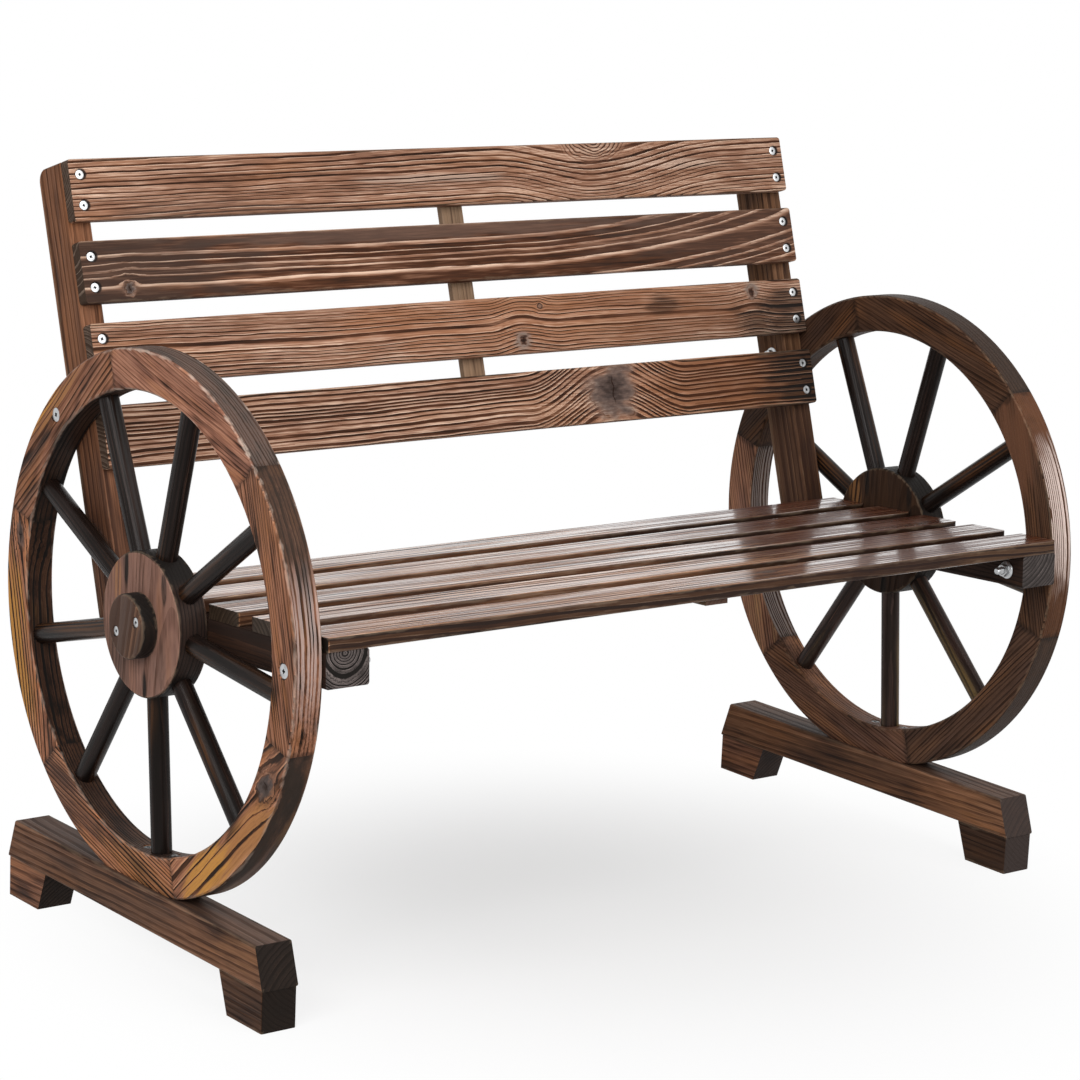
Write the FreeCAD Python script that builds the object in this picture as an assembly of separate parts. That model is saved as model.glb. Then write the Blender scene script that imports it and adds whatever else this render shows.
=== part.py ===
import FreeCAD, Part
import math
import os

# Garden bench carried by two wooden wagon wheels. Millimetres, +Z up, the front faces -Y.
# Angles in a wheel are measured from its front (-Y) upwards. The frame's origin lies on the
# floor under the middle of the bench's bounding box.

# Wheels: rims of butted felloes, round spokes, a solid hub and a turned cap on its outer face
rim_radius = 284.0
rim_depth = 43.0
rim_width = 32.5
rim_edge_bevel = 2.2
rim_flat_depth = 9.0
felloe_count = 6
first_joint_angle = 45.0
spoke_count = 9
first_spoke_angle = -85.0
spoke_diameter = 22.0
spoke_rim_socket = 14.0
spoke_hub_socket = 24.0
hub_radius = 76.0
hub_proud = 2.0
hub_edge_bevel = 1.5
cap_diameter = 68.0
cap_thickness = 18.0
cap_edge_round = 3.0
cap_screw_radius = 21.0
cap_screw_angle = 24.0

# Base: a beam from front to back under each wheel, on two feet
beam_width = 43.0
beam_height = 44.0
beam_top_length = 484.0
beam_bottom_length = 514.0
beam_setback = 8.0
beam_edge_round = 2.0
foot_height = 44.0
foot_top_length = 80.0
foot_bottom_length = 64.0
foot_edge_round = 2.0
foot_inset = 1.0

# Seat: slats on two side rails, sloping down to the back
slat_length = 998.0
slat_end_gap = 1.0
slat_thickness = 15.0
slat_edge_round = 2.0
slat_corner_round = 4.0
seat_height = 408.5
seat_overhang = 4.0
seat_tilt = 3.1
seat_slat_count = 5
seat_slat_width = 57.0
seat_slat_gap = 23.0
rail_width = 51.0
rail_height = 36.5
rail_front_inset = 2.0
rail_edge_round = 3.0

# Back: slats on two leaning posts whose feet are housed in the rails
back_height = 815.0
back_foot_gap = 3.2
back_tilt = 17.3
back_slat_count = 4
back_slat_width = 66.5
back_slat_gap = 21.3
post_width = 28.0
post_depth = 48.5
post_top_drop = 1.0
post_top_round = 14.0
post_edge_round = 1.5

# Battens: thin strips that tie the slats together in the middle of the seat and the back
batten_width = 30.0
batten_thickness = 7.0
batten_end_inset = 9.0

# Wood screws through the slats and caps, with heads sunk below the surface
wood_screw_head = 10.0
wood_screw_shank = 4.5
wood_screw_length = 28.0
wood_screw_sink = 1.0
back_screw_spacing = 33.0
seat_screw_share = 0.78
seat_screw_grip = 15.0

# Short screws through the battens
batten_screw_head = 8.0
batten_screw_shank = 3.5
batten_screw_length = 18.0
batten_screw_sink = 0.4

# Long screws that hold the rims and the feet to the beams
base_screw_head = 11.0
base_screw_shank = 5.5
base_screw_length = 60.0
base_screw_sink = 0.6
base_screw_spacing = 52.0
foot_screw_bore = 14.0

# Flat-headed bolts with flanged nuts, which join wheels, rails and posts
bolt_head = 15.0
bolt_diameter = 8.0
bolt_sink = 0.8
bolt_tip_bevel = 1.0
bolt_reach = 9.0
nut_across_flats = 13.0
nut_height = 8.0
nut_flange_diameter = 20.0
nut_flange_height = 2.0

# Clearances
socket_clearance = 0.2
screw_clearance = 0.2
bolt_clearance = 0.3
nut_clearance = 0.2
cut_overrun = 20.0

# Derived places
rim_bore = rim_radius - rim_depth
rim_middle = rim_radius - rim_depth / 2
wheel_inner = slat_length / 2 + slat_end_gap
wheel_outer = wheel_inner + rim_width
wheel_middle = wheel_inner + rim_width / 2
hub_outer = wheel_outer + hub_proud
cap_outer = hub_outer + cap_thickness
beam_top = foot_height + beam_height
wheel_centre = beam_top + rim_radius - rim_flat_depth
beam_inner = wheel_middle - beam_width / 2
rail_inner = wheel_inner - rail_width
post_inner = wheel_inner - post_width
seat_front = rim_radius + seat_overhang
seat_pitch = seat_slat_width + seat_slat_gap
seat_depth = seat_slat_count * seat_pitch - seat_slat_gap
back_pitch = back_slat_width + back_slat_gap
back_span = back_slat_count * back_pitch - back_slat_gap
rail_bottom = -slat_thickness - rail_height
rail_middle = -slat_thickness - rail_height / 2
post_back = slat_thickness + post_depth
post_middle = slat_thickness + post_depth / 2

Vec = FreeCAD.Vector
ALONG_X = Vec(1, 0, 0)
ALONG_Y = Vec(0, 1, 0)
ALONG_Z = Vec(0, 0, 1)
ORIGIN = Vec(0, 0, 0)
PARALLEL_SHARE = 0.999
HUB_CENTRE = Vec(0, 0, wheel_centre)


class Frame:
    """A working frame turned back about X: local Y runs rearward, local Z upward."""

    def __init__(self, tilt, y, z):
        self.placement = FreeCAD.Placement(Vec(0, y, z), FreeCAD.Rotation(ALONG_X, -tilt))

    def point(self, x, y, z):
        return self.placement.multVec(Vec(x, y, z))

    def direction(self, vector):
        return self.placement.Rotation.multVec(vector)

    def box(self, x, y, z):
        """A block between pairs of local coordinates."""
        block = Part.makeBox(x[1] - x[0], y[1] - y[0], z[1] - z[0], Vec(x[0], y[0], z[0]))
        block.Placement = self.placement.multiply(block.Placement)
        return block


# The seat's frame starts at its front top edge, the back's at the top of its slats' front faces
SEAT = Frame(seat_tilt, -seat_front, seat_height)
seat_rear = SEAT.point(0, seat_depth, 0)
back_lean = (back_height - seat_rear.z) * math.tan(math.radians(back_tilt))
BACK = Frame(back_tilt, seat_rear.y + back_foot_gap + back_lean, back_height)
LEVEL = Frame(0, 0, 0)


class Screw:
    """A countersunk screw or bolt, measured from the top of its head along its axis."""

    def __init__(self, head, shank, length, tip_length, tip_radius, clearance):
        self.head = head / 2
        self.shank = shank / 2
        self.length = length
        self.tip_length = tip_length
        self.tip_radius = tip_radius
        self.clearance = clearance
        self.neck = self.head - self.shank

    def solid(self, base, axis):
        profile = [(0, 0), (self.head, 0), (self.shank, self.neck),
                   (self.shank, self.length - self.tip_length), (self.tip_radius, self.length)]
        if self.tip_radius > 0:
            profile.append((0, self.length))
        return turned(profile, base, axis)

    def hole(self, base, axis, sink, flared=True, bore_depth=None):
        """The hole for the screw: a flared or straight mouth, a cone for the head and a bore."""
        gap = self.clearance
        depth = bore_depth or self.length + gap
        mouth = self.head + gap
        profile = [(0, -sink - cut_overrun)]
        if flared:
            profile += [(mouth + sink, -sink - cut_overrun), (mouth + sink, -sink)]
        else:
            profile += [(mouth, -sink - cut_overrun), (mouth, 0)]
        profile += [(self.shank + gap, self.neck), (self.shank + gap, depth), (0, depth)]
        return turned(profile, base, axis)


def turned(profile, base, axis):
    """Turn a closed profile of (radius, distance) about an axis that starts at a base point."""
    points = [Vec(radius, 0, distance) for radius, distance in profile]
    face = Part.Face(Part.makePolygon(points + points[:1]))
    solid = face.revolve(ORIGIN, ALONG_Z, 360)
    solid.Placement = FreeCAD.Placement(base, FreeCAD.Rotation(ALONG_Z, axis))
    return solid


def rounded(shape, radius, direction, keep=None):
    """Round the straight edges that run along a direction and, if asked, pass a test."""
    edges = []
    for edge in shape.Edges:
        run = edge.Vertexes[-1].Point - edge.Vertexes[0].Point
        if run.Length > 0 and abs(run.normalize().dot(direction)) > PARALLEL_SHARE:
            if keep is None or keep(edge.CenterOfMass):
                edges.append(edge)
    return shape.makeFillet(radius, edges)


def without(shape, tools):
    """Cut tools from a shape and return the one solid that is left."""
    return shape.cut(tools).Solids[0] if tools else shape


def mirrored(shape):
    """The same piece on the other side of the bench."""
    return shape.mirror(ORIGIN, ALONG_X)


def spread(count, first):
    """Angles spaced evenly round a wheel."""
    return [first + 360.0 * index / count for index in range(count)]


def ring_direction(angle):
    """Outward direction in a wheel's plane at an angle from its front."""
    turn = math.radians(angle)
    return Vec(0, -math.cos(turn), math.sin(turn))


def ring_crossing(start, direction, radius):
    """Where a line through a start point meets a circle about the hub, ahead of the start."""
    offset = start - HUB_CENTRE
    along = offset.dot(direction)
    reach = along * along - offset.dot(offset) + radius * radius
    return start + direction * (math.sqrt(reach) - along)


def line_crossing(start, direction, other_start, other_direction):
    """Where two lines in the bench's side plane meet."""
    offset = other_start - start
    across = direction.y * other_direction.z - direction.z * other_direction.y
    share = (offset.y * other_direction.z - offset.z * other_direction.y) / across
    return start + direction * share


def at_x(point, x):
    return Vec(x, point.y, point.z)


# Fasteners: each list holds the right side's places as (base, axis) pairs
wood_screw = Screw(wood_screw_head, wood_screw_shank, wood_screw_length,
                   wood_screw_shank, 0, screw_clearance)
batten_screw = Screw(batten_screw_head, batten_screw_shank, batten_screw_length,
                     batten_screw_shank, 0, screw_clearance)
base_screw = Screw(base_screw_head, base_screw_shank, base_screw_length,
                   base_screw_shank, 0, screw_clearance)


def bolt_of(grip):
    """A bolt whose nut closes on a stack of timber of a given thickness."""
    length = grip - bolt_sink + nut_height + bolt_reach
    return Screw(bolt_head, bolt_diameter, length, bolt_tip_bevel,
                 bolt_diameter / 2 - bolt_tip_bevel, bolt_clearance)


def flanged_nut(base, axis):
    """A hexagon nut with a round flange, seated on its flange."""
    corner = nut_across_flats / math.sqrt(3)
    points = [Vec(corner * math.cos(math.radians(turn)), corner * math.sin(math.radians(turn)), 0)
              for turn in spread(6, 0)]
    hexagon = Part.Face(Part.makePolygon(points + points[:1])).extrude(ALONG_Z * nut_height)
    flange = Part.makeCylinder(nut_flange_diameter / 2, nut_flange_height)
    bore = Part.makeCylinder(bolt_diameter / 2 + nut_clearance, nut_height)
    nut = hexagon.fuse(flange).removeSplitter().cut(bore).Solids[0]
    nut.Placement = FreeCAD.Placement(base, FreeCAD.Rotation(ALONG_Z, axis))
    return nut


# Places where the bolts cross the bench's side plane
rail_axis = SEAT.direction(ALONG_Y)
post_axis = BACK.direction(ALONG_Z)
rail_line = SEAT.point(0, rail_front_inset, rail_middle)
post_line = BACK.point(0, post_middle, 0)
rail_bolt_place = ring_crossing(rail_line, rail_axis * -1, rim_middle)
joint_bolt_place = line_crossing(post_line, post_axis, rail_line, rail_axis)
post_bolt_place = ring_crossing(joint_bolt_place, post_axis, rim_middle)

# Each bolt: its place, the face under its head and the thickness that it clamps
bolts = [
    (rail_bolt_place, wheel_outer, rim_width + rail_width),
    (post_bolt_place, wheel_outer, rim_width + post_width),
    (joint_bolt_place, wheel_inner, rail_width),
]
bolt_holes = [bolt_of(grip).hole(at_x(place, head_face - bolt_sink), ALONG_X * -1, bolt_sink,
                                 bore_depth=grip + cut_overrun)
              for place, head_face, grip in bolts]

# Screws of the right wheel's cap
cap_screws = [(Vec(cap_outer - wood_screw_sink, 0, wheel_centre)
               + ring_direction(angle) * cap_screw_radius, ALONG_X * -1)
              for angle in spread(2, cap_screw_angle)]
cap_holes = [wood_screw.hole(base, axis, wood_screw_sink) for base, axis in cap_screws]

# Screws down through the rim's bore into the beam, either side of the lowest spoke
spoke_foot = (ring_direction(first_spoke_angle) * rim_bore).y
rim_screw_rows = [spoke_foot - base_screw_spacing / 2, spoke_foot + base_screw_spacing / 2]
rim_screws = [(Vec(wheel_middle, y, wheel_centre - math.sqrt(rim_bore ** 2 - y ** 2) - base_screw_sink),
               ALONG_Z * -1) for y in rim_screw_rows]
rim_holes = [base_screw.hole(base, axis, base_screw_sink) for base, axis in rim_screws]

# Screws up through the feet into the beam
beam_half = beam_bottom_length / 2
foot_centres = [beam_setback + side * (beam_half - foot_bottom_length / 2) for side in (-1, 1)]
foot_screws = [(Vec(wheel_middle, y, foot_screw_bore), ALONG_Z) for y in foot_centres]
foot_holes = [base_screw.hole(base, axis, foot_screw_bore, flared=False)
              for base, axis in foot_screws]

# Screws up through the right rail into the seat slats
seat_screws = [(SEAT.point(wheel_inner - rail_width / 2,
                           index * seat_pitch + seat_slat_width * seat_screw_share,
                           -slat_thickness - seat_screw_grip), SEAT.direction(ALONG_Z))
               for index in range(seat_slat_count)]
seat_holes = [wood_screw.hole(base, axis, rail_height - seat_screw_grip, flared=False)
              for base, axis in seat_screws]


def back_slat_middle(index):
    """Local height of the middle of a back slat, counted from the top one."""
    return -index * back_pitch - back_slat_width / 2


# Screws through the right ends of the back slats into the post
back_screws = [(BACK.point(wheel_inner - post_width / 2, wood_screw_sink,
                           back_slat_middle(index) + side * back_screw_spacing / 2),
                BACK.direction(ALONG_Y))
               for index in range(back_slat_count) for side in (-1, 1)]
back_holes = [wood_screw.hole(base, axis, wood_screw_sink) for base, axis in back_screws]

# Screws through the two battens, in the bench's middle
batten_back = slat_thickness + batten_thickness
back_batten_screws = [(BACK.point(0, batten_back - batten_screw_sink, back_slat_middle(index)),
                       BACK.direction(ALONG_Y * -1)) for index in range(back_slat_count)]
seat_batten_screws = [(SEAT.point(0, index * seat_pitch + seat_slat_width / 2,
                                  batten_screw_sink - batten_back), SEAT.direction(ALONG_Z))
                      for index in range(seat_slat_count)]
back_batten_holes = [batten_screw.hole(base, axis, batten_screw_sink)
                     for base, axis in back_batten_screws]
seat_batten_holes = [batten_screw.hole(base, axis, batten_screw_sink)
                     for base, axis in seat_batten_screws]


def ring_profile(inner, outer, x_inner, x_outer, bevel, angle):
    """The bevelled section of a rim in the plane of one angle, as a face."""
    section = [(x_inner, inner + bevel), (x_inner, outer - bevel), (x_inner + bevel, outer),
               (x_outer - bevel, outer), (x_outer, outer - bevel), (x_outer, inner + bevel),
               (x_outer - bevel, inner), (x_inner + bevel, inner)]
    out = ring_direction(angle)
    points = [HUB_CENTRE + ALONG_X * x + out * radius for x, radius in section]
    return Part.Face(Part.makePolygon(points + points[:1]))


def spoke_run(angle, radius, start, end):
    """A round rod along one spoke's direction."""
    out = ring_direction(angle)
    base = HUB_CENTRE + ALONG_X * wheel_middle + out * start
    return Part.makeCylinder(radius, end - start, base, out)


spoke_start = hub_radius - spoke_hub_socket
spoke_end = rim_bore + spoke_rim_socket
spoke_angles = spread(spoke_count, first_spoke_angle)
spoke_sockets = [spoke_run(angle, spoke_diameter / 2 + socket_clearance,
                           spoke_start - socket_clearance, spoke_end + socket_clearance)
                 for angle in spoke_angles]


def felloe(angle):
    """One curved piece of the rim, with its spoke sockets, its holes and any flat underside."""
    face = ring_profile(rim_bore, rim_radius, wheel_inner, wheel_outer, rim_edge_bevel, angle)
    arc = face.revolve(HUB_CENTRE, ALONG_X * -1, 360.0 / felloe_count)
    below = LEVEL.box((beam_inner, beam_inner + beam_width),
                      (-rim_radius, rim_radius), (beam_top - cut_overrun, beam_top))
    tools = spoke_sockets + bolt_holes + rim_holes + [below]
    near = [tool for tool in tools if arc.BoundBox.intersect(tool.BoundBox)]
    return without(arc, near)


def hub():
    """The round block in which the spokes meet, with the cap's screw holes."""
    section = [(0, 0), (hub_radius - hub_edge_bevel, 0), (hub_radius, hub_edge_bevel),
               (hub_radius, hub_outer - wheel_inner - hub_edge_bevel),
               (hub_radius - hub_edge_bevel, hub_outer - wheel_inner), (0, hub_outer - wheel_inner)]
    block = turned(section, HUB_CENTRE + ALONG_X * wheel_inner, ALONG_X)
    return without(block, spoke_sockets + cap_holes)


def hub_cap():
    """The turned disc screwed to the outer face of the hub."""
    disc = Part.makeCylinder(cap_diameter / 2, cap_thickness, HUB_CENTRE + ALONG_X * hub_outer, ALONG_X)
    rim_edge = [edge for edge in disc.Edges if edge.Closed and edge.CenterOfMass.x > hub_outer]
    return without(disc.makeFillet(cap_edge_round, rim_edge), cap_holes)


def side_prism(outline, x_start, width):
    """Extrude an outline of (y, z) points across the bench."""
    points = [Vec(x_start, y, z) for y, z in outline]
    return Part.Face(Part.makePolygon(points + points[:1])).extrude(ALONG_X * width)


def base_beam():
    """The beam under a wheel, with ends that slope back towards the top."""
    top, bottom = beam_top_length / 2, beam_bottom_length / 2
    outline = [(beam_setback - bottom, foot_height), (beam_setback - top, beam_top),
               (beam_setback + top, beam_top), (beam_setback + bottom, foot_height)]
    beam = rounded(side_prism(outline, beam_inner, beam_width), beam_edge_round, ALONG_Y)
    return without(beam, rim_holes + foot_holes)


def foot(side):
    """A foot under one end of the beam, a little narrower, upright outside and sloping inside."""
    end = beam_setback + side * (beam_half - foot_inset)
    outline = [(end, 0), (end, foot_height), (end - side * foot_top_length, foot_height),
               (end - side * foot_bottom_length, 0)]
    block = side_prism(outline, beam_inner + foot_inset, beam_width - 2 * foot_inset)
    block = rounded(block, foot_edge_round, ALONG_Z, lambda middle: abs(middle.y - end) < foot_edge_round)
    return without(block, foot_holes)


def seat_rail():
    """The rail under the slats' right ends, cut away at its back to house the post's foot."""
    rear = seat_depth + back_span
    rail = SEAT.box((rail_inner, wheel_inner), (rail_front_inset, rear), (rail_bottom, -slat_thickness))
    rail = rounded(rail, rail_edge_round, rail_axis)
    housing = BACK.box((post_inner, wheel_inner + cut_overrun), (slat_thickness, rear + back_span),
                       (-back_height - back_span, back_span))
    trim = BACK.box((rail_inner - cut_overrun, wheel_inner + cut_overrun), (post_back, rear + back_span),
                    (-back_height - back_span, back_span))
    return without(rail, [housing, trim] + bolt_holes + seat_holes)


def back_post():
    """The right post, rounded at the top of its back and cut level with the rail's underside."""
    post = BACK.box((post_inner, wheel_inner), (slat_thickness, post_back), (-back_height, -post_top_drop))
    top_back = BACK.point(0, post_back, -post_top_drop)
    post = rounded(post, post_top_round, ALONG_X,
                   lambda middle: (at_x(middle, 0) - top_back).Length < post_top_round)
    post = rounded(post, post_edge_round, post_axis)
    below = SEAT.box((post_inner - cut_overrun, wheel_inner + cut_overrun),
                     (0, seat_depth + back_height), (-back_height, rail_bottom))
    return without(post, [below] + bolt_holes + back_holes)


def slat(frame, y, z, through, tools):
    """A board across the bench with rounded long edges and, seen through its thickness, corners."""
    board = frame.box((-slat_length / 2, slat_length / 2), y, z)
    near = [tool for tool in tools if board.BoundBox.intersect(tool.BoundBox)]
    board = rounded(board, slat_edge_round, ALONG_X).common(rounded(board, slat_corner_round, through))
    return without(board, near)


def seat_slat(index):
    tools = seat_holes + [mirrored(tool) for tool in seat_holes] + seat_batten_holes
    start = index * seat_pitch
    return slat(SEAT, (start, start + seat_slat_width), (-slat_thickness, 0),
                SEAT.direction(ALONG_Z), tools)


def back_slat(index):
    tools = back_holes + [mirrored(tool) for tool in back_holes] + back_batten_holes
    top = -index * back_pitch
    return slat(BACK, (0, slat_thickness), (top - back_slat_width, top),
                BACK.direction(ALONG_Y), tools)


def seat_batten():
    strip = SEAT.box((-batten_width / 2, batten_width / 2), (batten_end_inset, seat_depth - batten_end_inset),
                     (-batten_back, -slat_thickness))
    return without(strip, seat_batten_holes)


def back_batten():
    strip = BACK.box((-batten_width / 2, batten_width / 2), (slat_thickness, batten_back),
                     (batten_end_inset - back_span, -batten_end_inset))
    return without(strip, back_batten_holes)


def both_sides(solids):
    """Right-hand solids with their mirror images, as one group of separate solids."""
    return Part.makeCompound(solids + [mirrored(solid) for solid in solids])


def right_side():
    """The pieces of the right-hand side by name, which the left side mirrors."""
    pieces = {}
    for index, angle in enumerate(spread(felloe_count, first_joint_angle)):
        pieces[f"felloe_{index + 1}"] = felloe(angle)
    for index, angle in enumerate(spoke_angles):
        pieces[f"spoke_{index + 1}"] = spoke_run(angle, spoke_diameter / 2, spoke_start, spoke_end)
    pieces["hub"] = hub()
    pieces["hub_cap"] = hub_cap()
    pieces["base_beam"] = base_beam()
    pieces["front_foot"] = foot(-1)
    pieces["rear_foot"] = foot(1)
    pieces["seat_rail"] = seat_rail()
    pieces["back_post"] = back_post()
    return pieces


def fasteners():
    """Groups of identical fasteners by name."""
    bolt_solids = [bolt_of(grip).solid(at_x(place, face - bolt_sink), ALONG_X * -1)
                   for place, face, grip in bolts]
    nut_solids = [flanged_nut(at_x(place, face - grip), ALONG_X * -1) for place, face, grip in bolts]
    return {
        "wood_screws": both_sides([wood_screw.solid(*place)
                                   for place in back_screws + cap_screws + seat_screws]),
        "batten_screws": Part.makeCompound([batten_screw.solid(*place)
                                            for place in back_batten_screws + seat_batten_screws]),
        "base_screws": both_sides([base_screw.solid(*place) for place in rim_screws + foot_screws]),
        "frame_bolts": both_sides(bolt_solids),
        "frame_nuts": both_sides(nut_solids),
    }


def bench():
    """All pieces by node name, moved so that the origin is under the middle of the bench."""
    nodes = {}
    for name, shape in right_side().items():
        nodes[f"right_{name}"] = shape
        nodes[f"left_{name}"] = mirrored(shape)
    for index in range(seat_slat_count):
        nodes[f"seat_slat_{index + 1}"] = seat_slat(index)
    for index in range(back_slat_count):
        nodes[f"back_slat_{index + 1}"] = back_slat(index)
    nodes["seat_batten"] = seat_batten()
    nodes["back_batten"] = back_batten()
    nodes.update(fasteners())
    box = Part.makeCompound(list(nodes.values())).optimalBoundingBox(False)
    for shape in nodes.values():
        shape.translate(Vec(0, -box.Center.y, 0))
    return nodes


def main():
    os.makedirs("parts", exist_ok=True)
    for name, shape in bench().items():
        if not shape.isValid() or shape.Volume <= 0:
            raise ValueError(f"{name} is not a sound solid")
        shape.exportStep(os.path.join("parts", f"{name}.step"))


main()
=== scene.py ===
"""Dress the wagon wheel bench: charred and oiled fir, zinc fasteners and a pale studio."""

import logging
import math
from contextlib import contextmanager
from dataclasses import dataclass, field, replace
from enum import Enum
from typing import Any, Iterator, Mapping, Optional, Sequence, Union

import bpy
import numpy as np
from mathutils import Matrix, Vector


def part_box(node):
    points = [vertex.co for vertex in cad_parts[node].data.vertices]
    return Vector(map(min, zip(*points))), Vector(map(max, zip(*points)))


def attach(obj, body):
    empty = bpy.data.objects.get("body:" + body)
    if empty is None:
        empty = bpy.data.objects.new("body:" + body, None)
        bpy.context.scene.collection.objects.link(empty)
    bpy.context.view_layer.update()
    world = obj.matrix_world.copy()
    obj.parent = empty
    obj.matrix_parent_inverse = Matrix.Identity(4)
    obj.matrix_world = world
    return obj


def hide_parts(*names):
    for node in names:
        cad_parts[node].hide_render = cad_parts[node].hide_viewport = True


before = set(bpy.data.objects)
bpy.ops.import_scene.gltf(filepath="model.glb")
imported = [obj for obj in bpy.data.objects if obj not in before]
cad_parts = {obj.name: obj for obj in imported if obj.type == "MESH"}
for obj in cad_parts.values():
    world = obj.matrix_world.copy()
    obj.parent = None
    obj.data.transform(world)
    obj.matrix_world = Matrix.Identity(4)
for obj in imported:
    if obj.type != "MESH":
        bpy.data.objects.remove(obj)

LOG = logging.getLogger("wagon_wheel_bench")
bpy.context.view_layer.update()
MM = 0.001
# Points of a CAD mesh that are closer than this are one, in metres
TOUCH = 0.01 * MM
OUTPUT = "ShaderNodeOutputMaterial"
# How far one unit of a seed moves the noise, and how far a layer's seed lies from the next
SEED_STEP = (17.31, 31.73, 11.97)
LAYER_STEP = 0.37
# Gain that spreads noise round 0.5 to about -1 to 1
NOISE_SPREAD = 3.4
# Share of the normal along a way at which a face starts to count as facing it, and fully does
FACING = (0.55, 0.72)
# Half the angle of a felloe in degrees
HALF_FELLOE = 30.0
# Millimetres that the painted shade round a screw hole, standing in for the shadow in its countersink,
# leans to the right
HOLE_SHADE = 1.3

Colour = tuple[float, float, float]
Size = tuple[float, float, float]
Growth = dict[str, Any]
Piece = bpy.types.Object
Operand = Union["Value", float]

PLAIN: Colour = (1.0, 1.0, 1.0)


@dataclass(frozen=True)
class Value:
    """A number or vector socket that takes part in Python expressions."""

    graph: "Graph"
    socket: bpy.types.NodeSocket

    def __add__(self, other: Operand) -> "Value":
        """Sum."""
        return self.graph.math("ADD", self, other)

    def __radd__(self, other: float) -> "Value":
        """Sum with a number on the left."""
        return self.graph.math("ADD", other, self)

    def __sub__(self, other: Operand) -> "Value":
        """Difference."""
        return self.graph.math("SUBTRACT", self, other)

    def __rsub__(self, other: float) -> "Value":
        """Difference from a number."""
        return self.graph.math("SUBTRACT", other, self)

    def __mul__(self, other: Operand) -> "Value":
        """Product."""
        return self.graph.math("MULTIPLY", self, other)

    def __rmul__(self, other: float) -> "Value":
        """Product with a number on the left."""
        return self.graph.math("MULTIPLY", other, self)

    def __truediv__(self, other: Operand) -> "Value":
        """Quotient."""
        return self.graph.math("DIVIDE", self, other)

    def __rtruediv__(self, other: float) -> "Value":
        """A number divided by this value."""
        return self.graph.math("DIVIDE", other, self)

    def __abs__(self) -> "Value":
        """Size without sign."""
        return self.graph.math("ABSOLUTE", self)

    def floor(self) -> "Value":
        """Next whole number below."""
        return self.graph.math("FLOOR", self)

    def fract(self) -> "Value":
        """Part after the whole number."""
        return self.graph.math("FRACT", self)

    def at_least(self, other: Operand) -> "Value":
        """The larger of two values."""
        return self.graph.math("MAXIMUM", self, other)

    def at_most(self, other: Operand) -> "Value":
        """The smaller of two values."""
        return self.graph.math("MINIMUM", self, other)

    def rise(self, low: float, high: float) -> "Value":
        """Smooth step from 0 at low to 1 at high."""
        return self.graph.add("ShaderNodeMapRange", {"interpolation_type": "SMOOTHSTEP"},
                              {0: self, 1: low, 2: high})


class Graph:
    """A node tree that is written as expressions."""

    def __init__(self, tree: bpy.types.NodeTree) -> None:
        """Start with an empty tree."""
        self.tree = tree
        tree.nodes.clear()

    def add(self, kind: str, settings: Mapping[str, Any], inputs: Mapping[Union[str, int], Any],
            output: Union[str, int] = 0) -> Value:
        """Add a node.

        Args:
            kind: The node's type.
            settings: Its properties; "stops" sets a colour ramp's (place, colour) pairs.
            inputs: A value or link for each socket, by name or index.
            output: The socket to return.

        Returns:
            The chosen output, or the first input where the node has no outputs.
        """
        node = self.tree.nodes.new(kind)
        for name, setting in settings.items():
            if name == "stops":
                ramp = node.color_ramp.elements
                while len(ramp) < len(setting):
                    ramp.new(1.0)
                for stop, (place, colour) in zip(ramp, setting):
                    stop.position, stop.color = place, (*colour, 1.0)
            else:
                setattr(node, name, setting)
        for key, given in inputs.items():
            if isinstance(given, Value):
                self.tree.links.new(given.socket, node.inputs[key])
            else:
                node.inputs[key].default_value = given
        return Value(self, node.outputs[output] if node.outputs else node.inputs[0])

    def math(self, operation: str, *operands: Operand) -> Value:
        """Add a Math node for one operation."""
        return self.add("ShaderNodeMath", {"operation": operation}, dict(enumerate(operands)))

    def mix(self, factor: Operand, first: Any, second: Any) -> Value:
        """Mix two colours.

        Args:
            factor: Share of the second colour.
            first: Colour at factor 0.
            second: Colour at factor 1.

        Returns:
            The mixed colour.
        """
        def opaque(colour: Any) -> Any:
            """Give a plain colour its alpha."""
            return colour if isinstance(colour, Value) else (*colour, 1.0)

        return self.add("ShaderNodeMix", {"data_type": "RGBA"},
                        {0: factor, 6: opaque(first), 7: opaque(second)}, 2)

    def length(self, first: Operand, second: Operand) -> Value:
        """Length of a flat vector."""
        pair = self.add("ShaderNodeCombineXYZ", {}, {0: first, 1: second})
        return self.add("ShaderNodeVectorMath", {"operation": "LENGTH"}, {0: pair}, "Value")

    def noise(self, place: Value, waves: Sequence[float], seed: float, detail: float = 1.0) -> Value:
        """Drift from about -1 to 1.

        Args:
            place: Position in millimetres.
            waves: Wavelength along each axis in millimetres.
            seed: Moves the pattern to a place of its own.
            detail: Finer layers of the noise.

        Returns:
            The drift.
        """
        point = self.add("ShaderNodeVectorMath", {"operation": "MULTIPLY_ADD"},
                         {0: place, 1: [1 / wave for wave in waves],
                          2: [seed * step for step in SEED_STEP]})
        level = self.add("ShaderNodeTexNoise", {}, {"Vector": point, "Scale": 1.0, "Detail": detail})
        return self.math("MULTIPLY_ADD", level, NOISE_SPREAD, -NOISE_SPREAD / 2)

    def surface(self, kind: str, shader: Value) -> None:
        """Send a shader to the output node."""
        self.add(kind, {}, {"Surface": shader})


def new_material(name: str) -> tuple[bpy.types.Material, Graph]:
    """Make an empty node material.

    Args:
        name: Name of the material.

    Returns:
        The material and the graph of its nodes.
    """
    material = bpy.data.materials.new(name)
    material.use_nodes = True
    return material, Graph(material.node_tree)


class Form(Enum):
    """How a timber piece was cut, which says where its edges are."""

    BOARD = "sawn board"
    RIM = "bent segment"
    DISC = "turned disc"
    ROD = "turned rod"


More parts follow.
